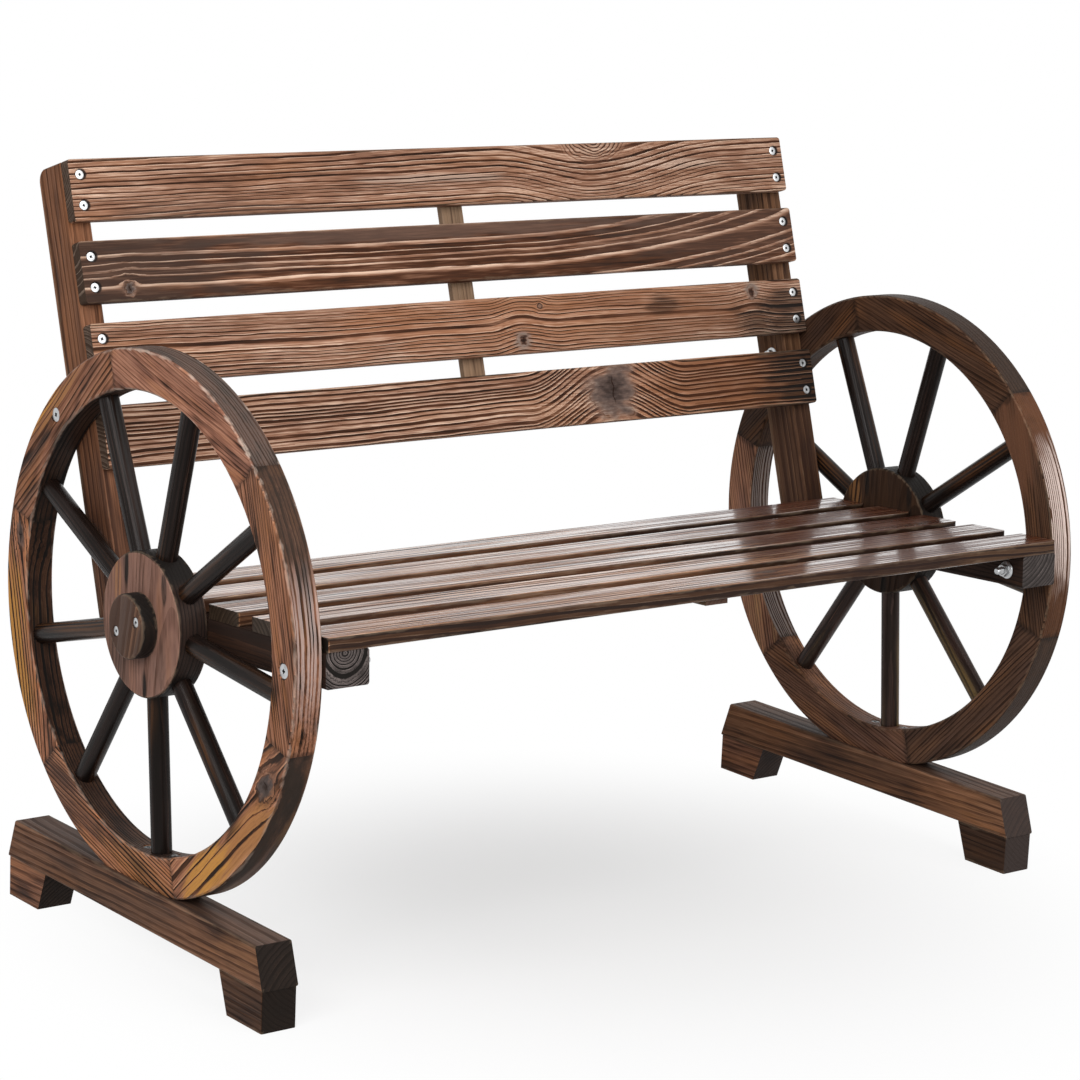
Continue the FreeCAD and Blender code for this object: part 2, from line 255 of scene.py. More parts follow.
class Drift(Enum):
    """What varies over a timber piece: wavelengths in millimetres, layer and detail."""

    BEND = ((340, 80, 80), 0, 1.0)
    SWAY = ((110, 30, 30), 1, 1.0)
    SLOW = ((420, 17, 17), 2, 1.0)
    FIBRE = ((60, 1.8, 1.8), 3, 2.0)
    STAIN_EDGE = ((60, 7, 14), 7, 1.0)
    RUB = ((24, 5, 5), 8, 3.0)
    FLECK = ((36, 6, 6), 9, 1.0)
    STREAK = ((110, 8, 8), 10, 1.0)
    BRISTLE = ((24, 1.1, 1.1), 11, 2.0)
    SCORCH = ((30, 9, 9), 12, 1.0)
    POLISH = ((230, 9, 9), 13, 2.0)
    SPLIT = ((40, 10, 10), 14, 1.0)
    SHIVER = ((26, 7, 7), 15, 1.0)
    EYE = ((9, 4, 4), 16, 4.0)
    SKIN_EDGE = ((40, 8, 8), 17, 1.0)
    ARC = ((26, 26, 26), 18, 1.0)


@dataclass(frozen=True)
class Knot:
    """A branch's foot in a board, in the board's own millimetres."""

    along: float
    across: float
    radius: float
    stretch: float = 1.4
    grey: float = 0.85
    sweep: float = 0.0
    reach: tuple[float, float] = (80.0, 80.0)
    ringed: bool = True
    ring_gap: float = 3.4


@dataclass(frozen=True)
class Stain:
    """A patch of another colour that follows the grain; most are stains, and those in GLARE are painted
    highlights.
    """

    along: float
    across: float
    half_length: float
    half_width: float
    colour: Colour
    strength: float = 0.8

    def pale(self) -> bool:
        """Whether the stain lies on the ridges, as a pale one does, and not in the grooves."""
        return sum(self.colour) > 0.5


@dataclass(frozen=True)
class Rings:
    """The growth rings that a board was cut from."""

    pith: tuple[float, float] = (-70.0, -30.0)
    gap: float = 5.0
    taper: float = 0.0
    share: float = 0.55
    low: float = 0.24
    high: float = 0.78
    wander: float = 2.5
    bow: float = 0.0
    uneven: float = 1.6
    bow_start: float = 50.0


@dataclass(frozen=True)
class Holes:
    """Four screw holes, with painted shade round their mouths, at equal ways from a board's middle."""

    along: float
    across: float
    radius: float = 5.0


@dataclass(frozen=True)
class Skin:
    """A colour on one narrow side of a piece, perhaps only on its ridges or in a band along the grain."""

    colour: Colour
    strength: float = 0.85
    raised: bool = False
    band: Optional[tuple[float, float]] = None
    fade: float = 32.0


@dataclass(frozen=True)
class Board:
    """Place, size and growth of one timber piece, with half sizes in millimetres."""

    centre: Vector
    grain: Vector
    face: Vector
    half: Size
    seed: float
    rings: Rings = Rings()
    form: Form = Form.BOARD
    knots: tuple[Knot, ...] = ()
    stains: tuple[Stain, ...] = ()
    tint: Colour = PLAIN
    outside: tuple[Skin, ...] = ()
    bore: tuple[Skin, ...] = ()
    holes: Optional[Holes] = None
    worn: float = 0.3

    def turn(self) -> Matrix:
        """Turn from the piece's own axes to the bench's.

        Returns:
            The rotation, whose columns are the grain, the way across it and the face.
        """
        across = self.face.cross(self.grain).normalized()
        face = self.grain.cross(across).normalized()
        return Matrix((self.grain.normalized(), across, face)).transposed()


@dataclass(frozen=True)
class WoodFinish:
    """Charred, brushed and oiled fir."""

    char: Colour = (0.012, 0.007, 0.005)
    dark: Colour = (0.056, 0.026, 0.016)
    middle: Colour = (0.240, 0.106, 0.056)
    light: Colour = (0.540, 0.285, 0.160)
    warm: Colour = (0.430, 0.170, 0.055)
    end: Colour = (0.012, 0.008, 0.006)
    knot: Colour = (0.112, 0.090, 0.083)
    weathered: Colour = (0.150, 0.098, 0.084)
    bare: Colour = (0.560, 0.400, 0.270)
    warmth: float = 0.30
    weather: float = 0.25
    burn: float = 0.12
    patch: Size = (170.0, 24.0, 24.0)
    wear: float = 0.4
    end_rings: float = 0.04
    rough: tuple[float, float] = (0.42, 0.72)
    gloss: float = 0.25
    coat: Optional[tuple[float, float]] = None
    coat_span: tuple[float, float] = (-260.0, 220.0)
    coat_rough: float = 0.12
    coat_ior: float = 2.1
    relief: float = 0.60

    def material(self, name: str, board: Board) -> bpy.types.Material:
        """Make the material of one piece.

        Args:
            name: Name of the material.
            board: The piece's place, size and growth.

        Returns:
            The finished material.
        """
        material, graph = new_material(name)
        shade = WoodShade(graph, board, self)
        graph.surface(OUTPUT, shade.shader())
        return material


class WoodShade:
    """The nodes of one timber piece, worked out in its own millimetres."""

    def __init__(self, graph: Graph, board: Board, finish: WoodFinish) -> None:
        """Find the piece's own coordinates and its grain.

        Args:
            graph: The material's graph.
            board: The piece's place, size and growth.
            finish: The colours and gloss of its wood.
        """
        self.graph, self.board, self.finish = graph, board, finish
        self.spot = graph.add("ShaderNodeTexCoord", {}, {}, "Object")
        self.place = graph.add(
            "ShaderNodeMapping", {"vector_type": "TEXTURE"},
            {"Vector": self.spot, "Location": board.centre,
             "Rotation": board.turn().to_euler(), "Scale": (MM, MM, MM)})
        split = graph.add("ShaderNodeSeparateXYZ", {}, {0: self.place}).socket.node
        self.along, self.across, self.deep = (Value(graph, socket) for socket in split.outputs)
        self.knots: list[tuple[float, Value, Value, Operand]] = []
        self.slow, self.fibre = self.drift(Drift.SLOW), self.drift(Drift.FIBRE)
        self.ridge = self.growth(self.flow())

    def noise(self, waves: Sequence[float], layer: int, detail: float = 1.0) -> Value:
        """Drift that belongs to this piece."""
        return self.graph.noise(self.place, waves, self.board.seed + LAYER_STEP * layer, detail)

    def drift(self, kind: Drift) -> Value:
        """One of the named drifts of this piece."""
        return self.noise(*kind.value)

    def flow(self) -> Value:
        """Bend the grain by slow drift and at the knots.

        Returns:
            The place across the grain as the tree grew it.
        """
        graph, board = self.graph, self.board
        side, wander = self.across, board.rings.wander
        if board.form is Form.RIM:
            way = self.sideways()
            side = side + (abs(way) - board.half[1]).rise(-1.0, -0.3) * (way - side)
        grown = (side + wander * self.drift(Drift.BEND) + 0.40 * wander * self.drift(Drift.SWAY)
                 + 0.35 * self.drift(Drift.SHIVER))
        for knot in board.knots:
            along, across = self.along - knot.along, self.across - knot.across
            size, ragged = knot.radius, 0.10 if knot.ringed else 0.36
            reach = (graph.length(along / knot.stretch, across) / size
                     + ragged * self.noise((0.9 * size, 0.5 * size, 0.5 * size), 4, 2.0))
            if knot.sweep:
                before, after = knot.reach
                grown = grown - knot.sweep * along.rise(-before, 0.0) * (1.0 - along.rise(0.0, after))
            else:
                grown = grown - across * (1.0 / (reach * reach).at_least(0.01)).at_most(1.0)
            eye, crack = 1.0 - (reach * size / knot.ring_gap).fract().rise(0.5, 0.9), 0.0
            if not knot.ringed:
                eye = reach.rise(0.05, 0.75) + 0.5 * self.drift(Drift.EYE)
                split = abs(along + 2.5 * self.drift(Drift.SPLIT)) + abs(across).rise(
                    0.25 * size, 0.6 * size)
                arc = abs(reach - 0.8) * size + self.drift(Drift.ARC).rise(0.5, -0.1)
                crack = 1.0 - split.at_most(arc).rise(0.35, 0.95)
            self.knots.append((knot.grey, 1.0 - reach.rise(0.55, 1.18), eye, crack))
        return grown

    def growth(self, grown: Value) -> Value:
        """Cut the growth rings.

        Args:
            grown: The place across the grain as the tree grew it.

        Returns:
            1 on the pale ridges and 0 in the dark grooves.
        """
        graph, rings = self.graph, self.board.rings
        late = (self.along - rings.bow_start).at_least(0.0)
        reach = (graph.length(grown - rings.pith[0], self.deep - rings.pith[1])
                 + rings.taper * self.along + rings.bow * late * late)
        years = graph.add("ShaderNodeTexNoise", {"noise_dimensions": "1D"},
                          {"W": reach / (5.0 * rings.gap) + self.board.seed, "Scale": 1.0,
                           "Detail": 1.0})
        phase = reach / rings.gap + rings.uneven * years
        chance = graph.add("ShaderNodeTexWhiteNoise", {"noise_dimensions": "1D"},
                           {"W": phase.floor() + self.board.seed})
        turn, width, force = phase.fract(), (7.3 * chance).fract(), (13.7 * chance).fract()
        streak = self.drift(Drift.STREAK)
        groove = (turn + 0.24 * (width - 0.5)).rise(rings.share - 0.09, rings.share + 0.07)
        depth = (0.62 + 0.38 * force + 0.35 * streak).at_most(1.0)
        # Painted highlight: a bright line on each ridge just past the sharp edge of its groove
        glint = (1.0 - turn.rise(0.04, 0.20)) * (width + 0.5 * streak).at_least(0.0)
        hair = (4.0 * phase + 0.6 * self.fibre).fract().rise(0.45, 1.0)
        ridge = (1.0 - groove * depth) * (0.66 + 0.34 * glint) * (1.0 - 0.25 * hair)
        for _, inside, eye, _ in self.knots:
            ridge = ridge + inside * (0.70 * eye - ridge)
        return ridge

    def sideways(self) -> Value:
        """Measure across the piece's width, which is curved on a rim or a disc.

        Returns:
            The way out from the middle of the width in millimetres.
        """
        graph, length = self.graph, self.board.half[0]
        if self.board.form is Form.DISC:
            return graph.length(self.along, self.across)
        if self.board.form is Form.RIM:
            return graph.length(self.along, self.across + length) - length
        return self.across

    def edge(self) -> Value:
        """Distance in millimetres to the nearest long edge."""
        _, width, depth = self.board.half
        return (width - abs(self.sideways())).at_least(depth - abs(self.deep))

    def facing(self, way: Vector) -> Value:
        """Mark the faces that look along a way, forwards or backwards.

        Args:
            way: The way in the bench's axes.

        Returns:
            1 on those faces and 0 elsewhere.
        """
        graph = self.graph
        normal = graph.add("ShaderNodeTexCoord", {}, {}, "Normal")
        share = graph.add("ShaderNodeVectorMath", {"operation": "DOT_PRODUCT"},
                          {0: normal, 1: way.normalized()}, "Value")
        return abs(share).rise(*FACING)

    def colour(self) -> Value:
        """Colour the rings, char, warm streaks, stains, knots, end grain, painted shade round screw holes
        and bare edges.

        Returns:
            The base colour.
        """
        graph, finish, board = self.graph, self.finish, self.board

        def tinted(colour: Colour) -> Colour:
            """Tint a colour for this piece."""
            return tuple(min(1.0, part * tint) for part, tint in zip(colour, board.tint))

        rings = board.rings
        burn = self.noise(finish.patch, 5, 2.0).rise(-0.1, 1.0) * finish.burn
        tone = (rings.low + (rings.high - rings.low) * self.ridge + 0.15 * self.fibre
                + 0.12 * self.drift(Drift.BRISTLE) + 0.07 * self.drift(Drift.FLECK)
                + 0.10 * self.slow - burn)
        paint = graph.add("ShaderNodeValToRGB", {"stops": [
            (0.0, tinted(finish.char)), (0.25, tinted(finish.dark)),
            (0.60, tinted(finish.middle)), (0.95, tinted(finish.light))]}, {0: tone})
        patch = self.noise(finish.patch, 6)
        paint = graph.mix(patch.rise(0.0, 0.9) * self.ridge * finish.warmth, paint, tinted(finish.warm))
        grey = graph.mix(self.ridge, tinted(finish.dark), tinted(finish.weathered))
        paint = graph.mix((0.0 - patch).rise(0.0, 1.1) * finish.weather, paint, grey)
        for stain in board.stains:
            ragged = self.drift(Drift.STAIN_EDGE) * 0.35
            spread = graph.length((self.along - stain.along) / stain.half_length,
                                  (self.across - stain.across) / stain.half_width) + ragged
            mask = (1.0 - spread.rise(0.45, 1.0)) * stain.strength
            if stain.pale():
                mask = mask * self.ridge.rise(0.25, 0.65)
            else:
                mask = mask * (1.0 - 0.55 * self.ridge.rise(0.45, 0.85))
            paint = graph.mix(mask, paint, stain.colour)
        for share, inside, eye, crack in self.knots:
            core = graph.mix(0.3 + 0.6 * eye, finish.char, finish.knot)
            paint = graph.mix(inside * share, paint, graph.mix(crack, core, finish.char))
        shine = (0.75 + 0.6 * self.slow).at_least(0.1)
        rings_seen = self.ridge.rise(0.45, 0.9) * shine * finish.end_rings
        cut = graph.mix(rings_seen, finish.end, tinted(finish.light))
        paint = graph.mix(self.facing(board.grain), paint, cut)
        # Painted shade: darken round each screw hole, leaning to the right, as the shadow in its
        # countersink
        if board.holes:
            away = graph.length(abs(self.along - HOLE_SHADE) - board.holes.along,
                                abs(self.across) - board.holes.across) - board.holes.radius
            paint = graph.mix((1.0 - away.rise(0.4, 2.2)) * 0.92, paint, SOOT_AND_SHADE)
        for way, skin in ([(1.0, skin) for skin in board.outside]
                          + [(-1.0, skin) for skin in board.bore]):
            cover = (way * self.sideways() - board.half[1]).rise(-0.9, -0.2) * skin.strength
            if skin.band:
                ragged, (start, end) = self.along + 14.0 * self.drift(Drift.SKIN_EDGE), skin.band
                cover = cover * ragged.rise(start - skin.fade, start + skin.fade)
                cover = cover * ragged.rise(end + skin.fade, end - skin.fade)
            height = self.ridge.rise(0.25, 0.75) if skin.raised else 1.0 - 0.12 * self.ridge
            paint = graph.mix(cover * height, paint, skin.colour)
        if board.form is Form.RIM:
            radius = board.half[0]
            joint = radius * (math.radians(HALF_FELLOE) - abs(graph.math(
                "ARCTAN2", self.along, self.across + radius)))
            scorch = 1.0 - (joint + 4.0 * self.drift(Drift.SCORCH)).rise(0.4, 6.0)
            paint = graph.mix(scorch * 0.5, paint, SOOT_AND_SHADE)
        if board.form is not Form.ROD:
            rub = self.edge() + 3.4 * self.drift(Drift.RUB)
            fray = (1.0 - rub.rise(0.2, 3.0)) * finish.wear * board.worn
            paint = graph.mix(fray, paint, finish.bare)
        return paint

    def shader(self) -> Value:
        """Join colour, gloss and brushed relief.

        Returns:
            The piece's shader.
        """
        graph, finish = self.graph, self.finish
        low, high = finish.rough
        rough = high - (high - low) * self.ridge + 0.05 * self.fibre
        height = finish.relief * (self.ridge + 0.20 * self.fibre + 0.25 * self.slow)
        for _, inside, _, crack in self.knots:
            height = height - 1.5 * finish.relief * inside * crack
        bump = graph.add("ShaderNodeBump", {}, {"Strength": 1.0, "Distance": MM, "Height": height})
        inputs = {"Base Color": self.colour(), "Roughness": rough, "Normal": bump,
                  "IOR": 1.5, "Specular IOR Level": finish.gloss}
        if finish.coat:
            left, right = finish.coat
            polish = self.drift(Drift.POLISH) + 0.9 * self.ridge
            level = left + (right - left) * self.along.rise(*finish.coat_span)
            inputs["Coat Weight"] = level * polish.rise(0.0, 1.0) * self.facing(self.board.face)
            inputs["Coat Roughness"], inputs["Coat IOR"] = finish.coat_rough, finish.coat_ior
        return graph.add("ShaderNodeBsdfPrincipled", {}, inputs)


@dataclass(frozen=True)
class ZincFinish:
    """Bright zinc plate on steel."""

    plate: Colour = (0.54, 0.55, 0.56)
    cloud: Colour = (0.36, 0.36, 0.36)
    rough: tuple[float, float] = (0.34, 0.50)
    metal: float = 1.0

    def material(self, name: str) -> bpy.types.Material:
        """Make the plated material.

        Args:
            name: Name of the material.

        Returns:
            The finished material.
        """
        material, graph = new_material(name)
        spot = graph.add("ShaderNodeTexCoord", {}, {}, "Object")
        place = graph.add("ShaderNodeVectorMath", {"operation": "SCALE"}, {0: spot, "Scale": 1 / MM})
        cloud = graph.noise(place, (6, 6, 6), 3.0, 3.0).rise(-0.2, 0.9)
        scratch = graph.noise(place, (0.35, 2.5, 2.5), 5.0, 2.0)
        low, high = self.rough
        bump = graph.add("ShaderNodeBump", {}, {"Strength": 0.6, "Distance": MM,
                                                "Height": scratch * 0.02})
        graph.surface(OUTPUT, graph.add("ShaderNodeBsdfPrincipled", {}, {
            "Base Color": graph.mix(cloud * 0.7, self.plate, self.cloud),
            "Metallic": self.metal, "Roughness": low + (high - low) * cloud, "Normal": bump}))
        return material


SLAT = WoodFinish(char=(0.022, 0.010, 0.006), dark=(0.078, 0.028, 0.013), middle=(0.350, 0.176, 0.108),
                  light=(0.900, 0.640, 0.480), end=(0.050, 0.030, 0.020), end_rings=0.2, weather=0.20,
                  gloss=0.09, relief=0.7)
SEAT = WoodFinish(dark=(0.080, 0.026, 0.010), middle=(0.330, 0.140, 0.062), light=(0.860, 0.580, 0.400),
                  end=(0.026, 0.016, 0.010), end_rings=0.08, rough=(0.26, 0.45), gloss=0.10,
                  coat=(0.62, 1.0), relief=0.12, burn=0.42, patch=(240.0, 10.0, 10.0))
# Seat finish with near-black end grain, for the front slat
SEAT_BLACK_END = replace(SEAT, end=(0.006, 0.004, 0.003), end_rings=0.0)
RIM = WoodFinish(dark=(0.066, 0.028, 0.015), middle=(0.290, 0.124, 0.071), light=(0.590, 0.300, 0.175),
                 bare=(0.640, 0.500, 0.410), warmth=0.65, burn=0.62, patch=(80.0, 16.0, 16.0), wear=0.8,
                 gloss=0.09, relief=0.30)
SHADED_RIM = WoodFinish(dark=(0.030, 0.014, 0.008), middle=(0.092, 0.046, 0.027),
                        light=(0.180, 0.090, 0.050), burn=0.25, patch=(100.0, 20.0, 20.0), gloss=0.09,
                        relief=0.25)
SPOKE = WoodFinish(char=(0.005, 0.003, 0.002), dark=(0.008, 0.005, 0.004),
                   middle=(0.016, 0.009, 0.007), light=(0.078, 0.040, 0.027), rough=(0.18, 0.36),
                   gloss=0.11, relief=0.30, burn=0.30)
HUB = WoodFinish(middle=(0.245, 0.128, 0.095), light=(0.380, 0.208, 0.150), relief=0.12, gloss=0.10)
# Right hub's finish: darker wood, and partly painted shade as on the right rim
DARK_HUB = WoodFinish(dark=(0.012, 0.007, 0.005), middle=(0.038, 0.019, 0.011),
                      light=(0.066, 0.033, 0.018), warm=(0.070, 0.032, 0.014), relief=0.12, gloss=0.08)
CAP = WoodFinish(middle=(0.076, 0.040, 0.026), light=(0.165, 0.086, 0.055), relief=0.08, gloss=0.2)
FRAME = WoodFinish(middle=(0.205, 0.098, 0.055), light=(0.400, 0.205, 0.120), gloss=0.09, relief=0.25,
                   burn=0.36, patch=(130.0, 26.0, 26.0))
# Right-side copies with paler, flatter end grain: painted light, as more light falls on the right ends
FRAME_PAINTED_LIT_ENDS = replace(FRAME, end=(0.047, 0.034, 0.030), end_rings=0.06)
RAIL = replace(FRAME, end=(0.010, 0.008, 0.007), light=(1.0, 0.88, 0.85), end_rings=0.95)
RAIL_PAINTED_LIT_ENDS = replace(RAIL, end=(0.034, 0.028, 0.026), end_rings=0.40)
BATTEN = WoodFinish(middle=(0.225, 0.140, 0.082), light=(0.320, 0.195, 0.115), end=(0.10, 0.05, 0.035),
                    end_rings=0.3, gloss=0.2, relief=0.08, burn=0.08, warmth=0.1)
ZINC = ZincFinish()
DULL_ZINC = ZincFinish(plate=(0.12, 0.12, 0.12), cloud=(0.06, 0.06, 0.06), rough=(0.45, 0.60))
# Near-black zinc for the cross recesses: painted shade in the hollows
SHADED_RECESS = ZincFinish(plate=(0.05, 0.05, 0.05), cloud=(0.02, 0.02, 0.02), rough=(0.45, 0.60))

HEART = (0.66, 0.31, 0.07)
AMBER = (0.46, 0.21, 0.07)
BARE_YELLOW = (0.66, 0.44, 0.16)
# Dark brown for smudges, and for the painted shade on the base beams' tops
SMUDGE_AND_SHADE = (0.05, 0.032, 0.025)
PLUM = (0.115, 0.070, 0.053)
CLAY = (0.44, 0.18, 0.078)
# Pale glare for painted highlights along the ridges of the top back slat
GLARE = (0.78, 0.60, 0.48)
ASHEN = (0.34, 0.25, 0.20)
RUSSET = (0.10, 0.038, 0.017)
# Near black: char on stains, joints and charred faces, and painted shade round screw holes
SOOT_AND_SHADE = (0.010, 0.008, 0.007)
BURNT = (0.062, 0.019, 0.006)
WINE = (0.050, 0.009, 0.004)
COPPER = (0.190, 0.085, 0.048)
COCOA = (0.085, 0.044, 0.031)
UMBER = (0.075, 0.036, 0.022)
TAR = (0.022, 0.013, 0.010)
MAHOGANY = (0.045, 0.020, 0.013)
SOOTY = (Skin(SOOT_AND_SHADE, 0.97),)
DUSKY = (Skin((0.040, 0.028, 0.022), 0.85),)
BATTEN_RINGS = Rings((-90, -60), 5.0, 0.01, 0.6, 0.48, 0.68)
LEFT_FACE = Vector((-1, 0, 0))
ALONG_X = Vector((1, 0, 0))


def middle(node: str) -> Vector:
    """Middle of a CAD node's box, in metres."""
    low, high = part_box(node)
    return (low + high) / 2


def dress_timber(node: str, finish: WoodFinish, board: Board) -> None:
    """Give a CAD node a material of its own.

    Args:
        node: Name of the node.
        finish: The colours and gloss of its wood.
        board: Its place, size and growth.
    """
    material = finish.material(f"{node}_fir", board)
    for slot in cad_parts[node].material_slots:
        slot.material = material
    LOG.info("dressed %s", node)


@dataclass
class Back:
    """The four slats of the backrest and the batten behind them."""

    slat_half: Size = (499.0, 33.25, 7.5)
    batten_half: Size = (160.0, 15.0, 3.5)
    holes: Holes = Holes(486.0, 16.5)
    slats: int = 4
    seed_step: float = 3.1
    batten_seed: float = 41.0

    def growth(self) -> tuple[Growth, ...]:
        """Grow each slat.

        Returns:
            Rings, knots and stains of the slats from the top.
        """
        return (
            dict(rings=Rings((58, -44), 3.8, 0.012, 0.70, 0.06, 0.92, 3.2, uneven=2.2),
                 knots=(Knot(205, 37, 29, 1.7, 0.15, -24, (150, 210)),),
                 # The glare patches are painted highlights
                 stains=(Stain(-330, -26, 190, 12, PLUM, 0.45), Stain(-20, -2, 130, 7, GLARE, 0.4),
                         Stain(330, 6, 110, 8, GLARE, 0.4))),
            dict(rings=Rings((48, -20), 9.0, 0.0, 0.28, 0.17, 0.92, 2.6, 2e-4, 3.0),
                 knots=(Knot(-445, -20, 8, 1.0, 0.8, ringed=False),),
                 stains=(Stain(-60, 28, 440, 16, PLUM, 0.75), Stain(-470, 0, 240, 80, SMUDGE_AND_SHADE, 0.7),
                         Stain(380, 10, 260, 60, PLUM, 0.35),
                         Stain(-248, -34, 18, 6, BARE_YELLOW), Stain(280, -34, 14, 5, BARE_YELLOW))),
            dict(rings=Rings((-80, -40), 4.0, 0.004, 0.68, 0.08, 0.96, 3.4, uneven=2.2),
                 knots=(Knot(65, -18, 11, 0.9, 0.42, 7, (46, 60), False), Knot(95, 20, 4, 1.2, 0.6),
                        Knot(420, 20, 11, 1.0, 0.42, 4, (40, 40), False)),
                 stains=(Stain(120, 6, 420, 60, CLAY, 0.4), Stain(280, 12, 34, 16, SOOT_AND_SHADE, 0.85),
                         Stain(330, -10, 200, 40, RUSSET, 0.45),
                         Stain(65, -20, 17, 15, ASHEN, 0.9), Stain(420, 22, 17, 13, ASHEN, 0.9),
                         Stain(500, -16, 130, 50, SOOT_AND_SHADE, 0.9))),
            dict(rings=Rings((-90, -30), 4.8, -0.006, 0.51, 0.05, 1.01, 3.0, uneven=2.0),
                 knots=(Knot(185, 4, 36, 1.1, 0.86, 44, (125, 115), False),),
                 stains=(Stain(380, 0, 260, 70, CLAY, 0.6), Stain(400, 0, 190, 50, BURNT, 0.6),
                         Stain(505, 0, 110, 90, SOOT_AND_SHADE, 0.95))),
        )

    def dress(self) -> None:
        """Dress the slats and the batten."""
        rise = (middle("back_slat_1") - middle(f"back_slat_{self.slats}")).normalized()
        face = ALONG_X.cross(rise)
        for index, growth in enumerate(self.growth(), 1):
            node = f"back_slat_{index}"
            board = Board(middle(node), ALONG_X, face, self.slat_half, self.seed_step * index,
                          holes=self.holes, **growth)
            dress_timber(node, SLAT, board)
        dress_timber("back_batten", BATTEN, Board(
            middle("back_batten"), rise, -face, self.batten_half, self.batten_seed, BATTEN_RINGS))


@dataclass
class Seat:
    """The five slats of the seat and the batten under them."""

    slat_half: Size = (499.0, 28.5, 7.5)
    batten_half: Size = (190.0, 15.0, 3.5)
    slats: int = 5
    first_seed: float = 20.0
    seed_step: float = 2.7
    batten_seed: float = 47.0

    def growth(self) -> list[Growth]:
        """Grow each slat.

        Returns:
            Rings, knots, stains and dark sides of the slats from the front.
        """
        dark_sides = (Skin((0.056, 0.025, 0.014), 0.85), Skin((0.010, 0.005, 0.003), 0.85, band=(60, 560)))
        front = (Skin((0.020, 0.011, 0.008), 0.92), Skin((0.120, 0.062, 0.032), 0.7, True, (350, 540)))
        # The right half of every slat is coloured darker wine red
        grown = [dict(rings=rings, outside=dark_sides, bore=dark_sides, stains=(Stain(440, 0, 420, 90, WINE, 0.95),))
                 for rings in (Rings((-60, -26), 5.6, 0.010, 0.64, 0.16, 0.92),
                               Rings((48, -40), 6.4, -0.008, 0.66, 0.18, 0.94),
                               Rings((-44, -30), 5.2, 0.012, 0.60, 0.16, 0.90),
                               Rings((70, -24), 6.2, 0.006, 0.64, 0.18, 0.92),
                               Rings((-52, -36), 5.4, -0.010, 0.58, 0.16, 0.90))]
        grown[0].update(knots=(Knot(91, 4, 7, 2.0),), bore=front)
        return grown

    def dress(self) -> None:
        """Dress the slats and the batten."""
        rear = (middle(f"seat_slat_{self.slats}") - middle("seat_slat_1")).normalized()
        face = ALONG_X.cross(rear)
        for index, growth in enumerate(self.growth(), 1):
            node = f"seat_slat_{index}"
            board = Board(middle(node), ALONG_X, face, self.slat_half,
                          self.first_seed + self.seed_step * index, **growth)
            finish = SEAT if index > 1 else SEAT_BLACK_END
            dress_timber(node, finish, board)
        dress_timber("seat_batten", BATTEN, Board(
            middle("seat_batten"), rear, -face, self.batten_half, self.batten_seed, BATTEN_RINGS))


class Side(Enum):
    """The two ends of the bench, as seen from its front."""

    LEFT = "left"
    RIGHT = "right"


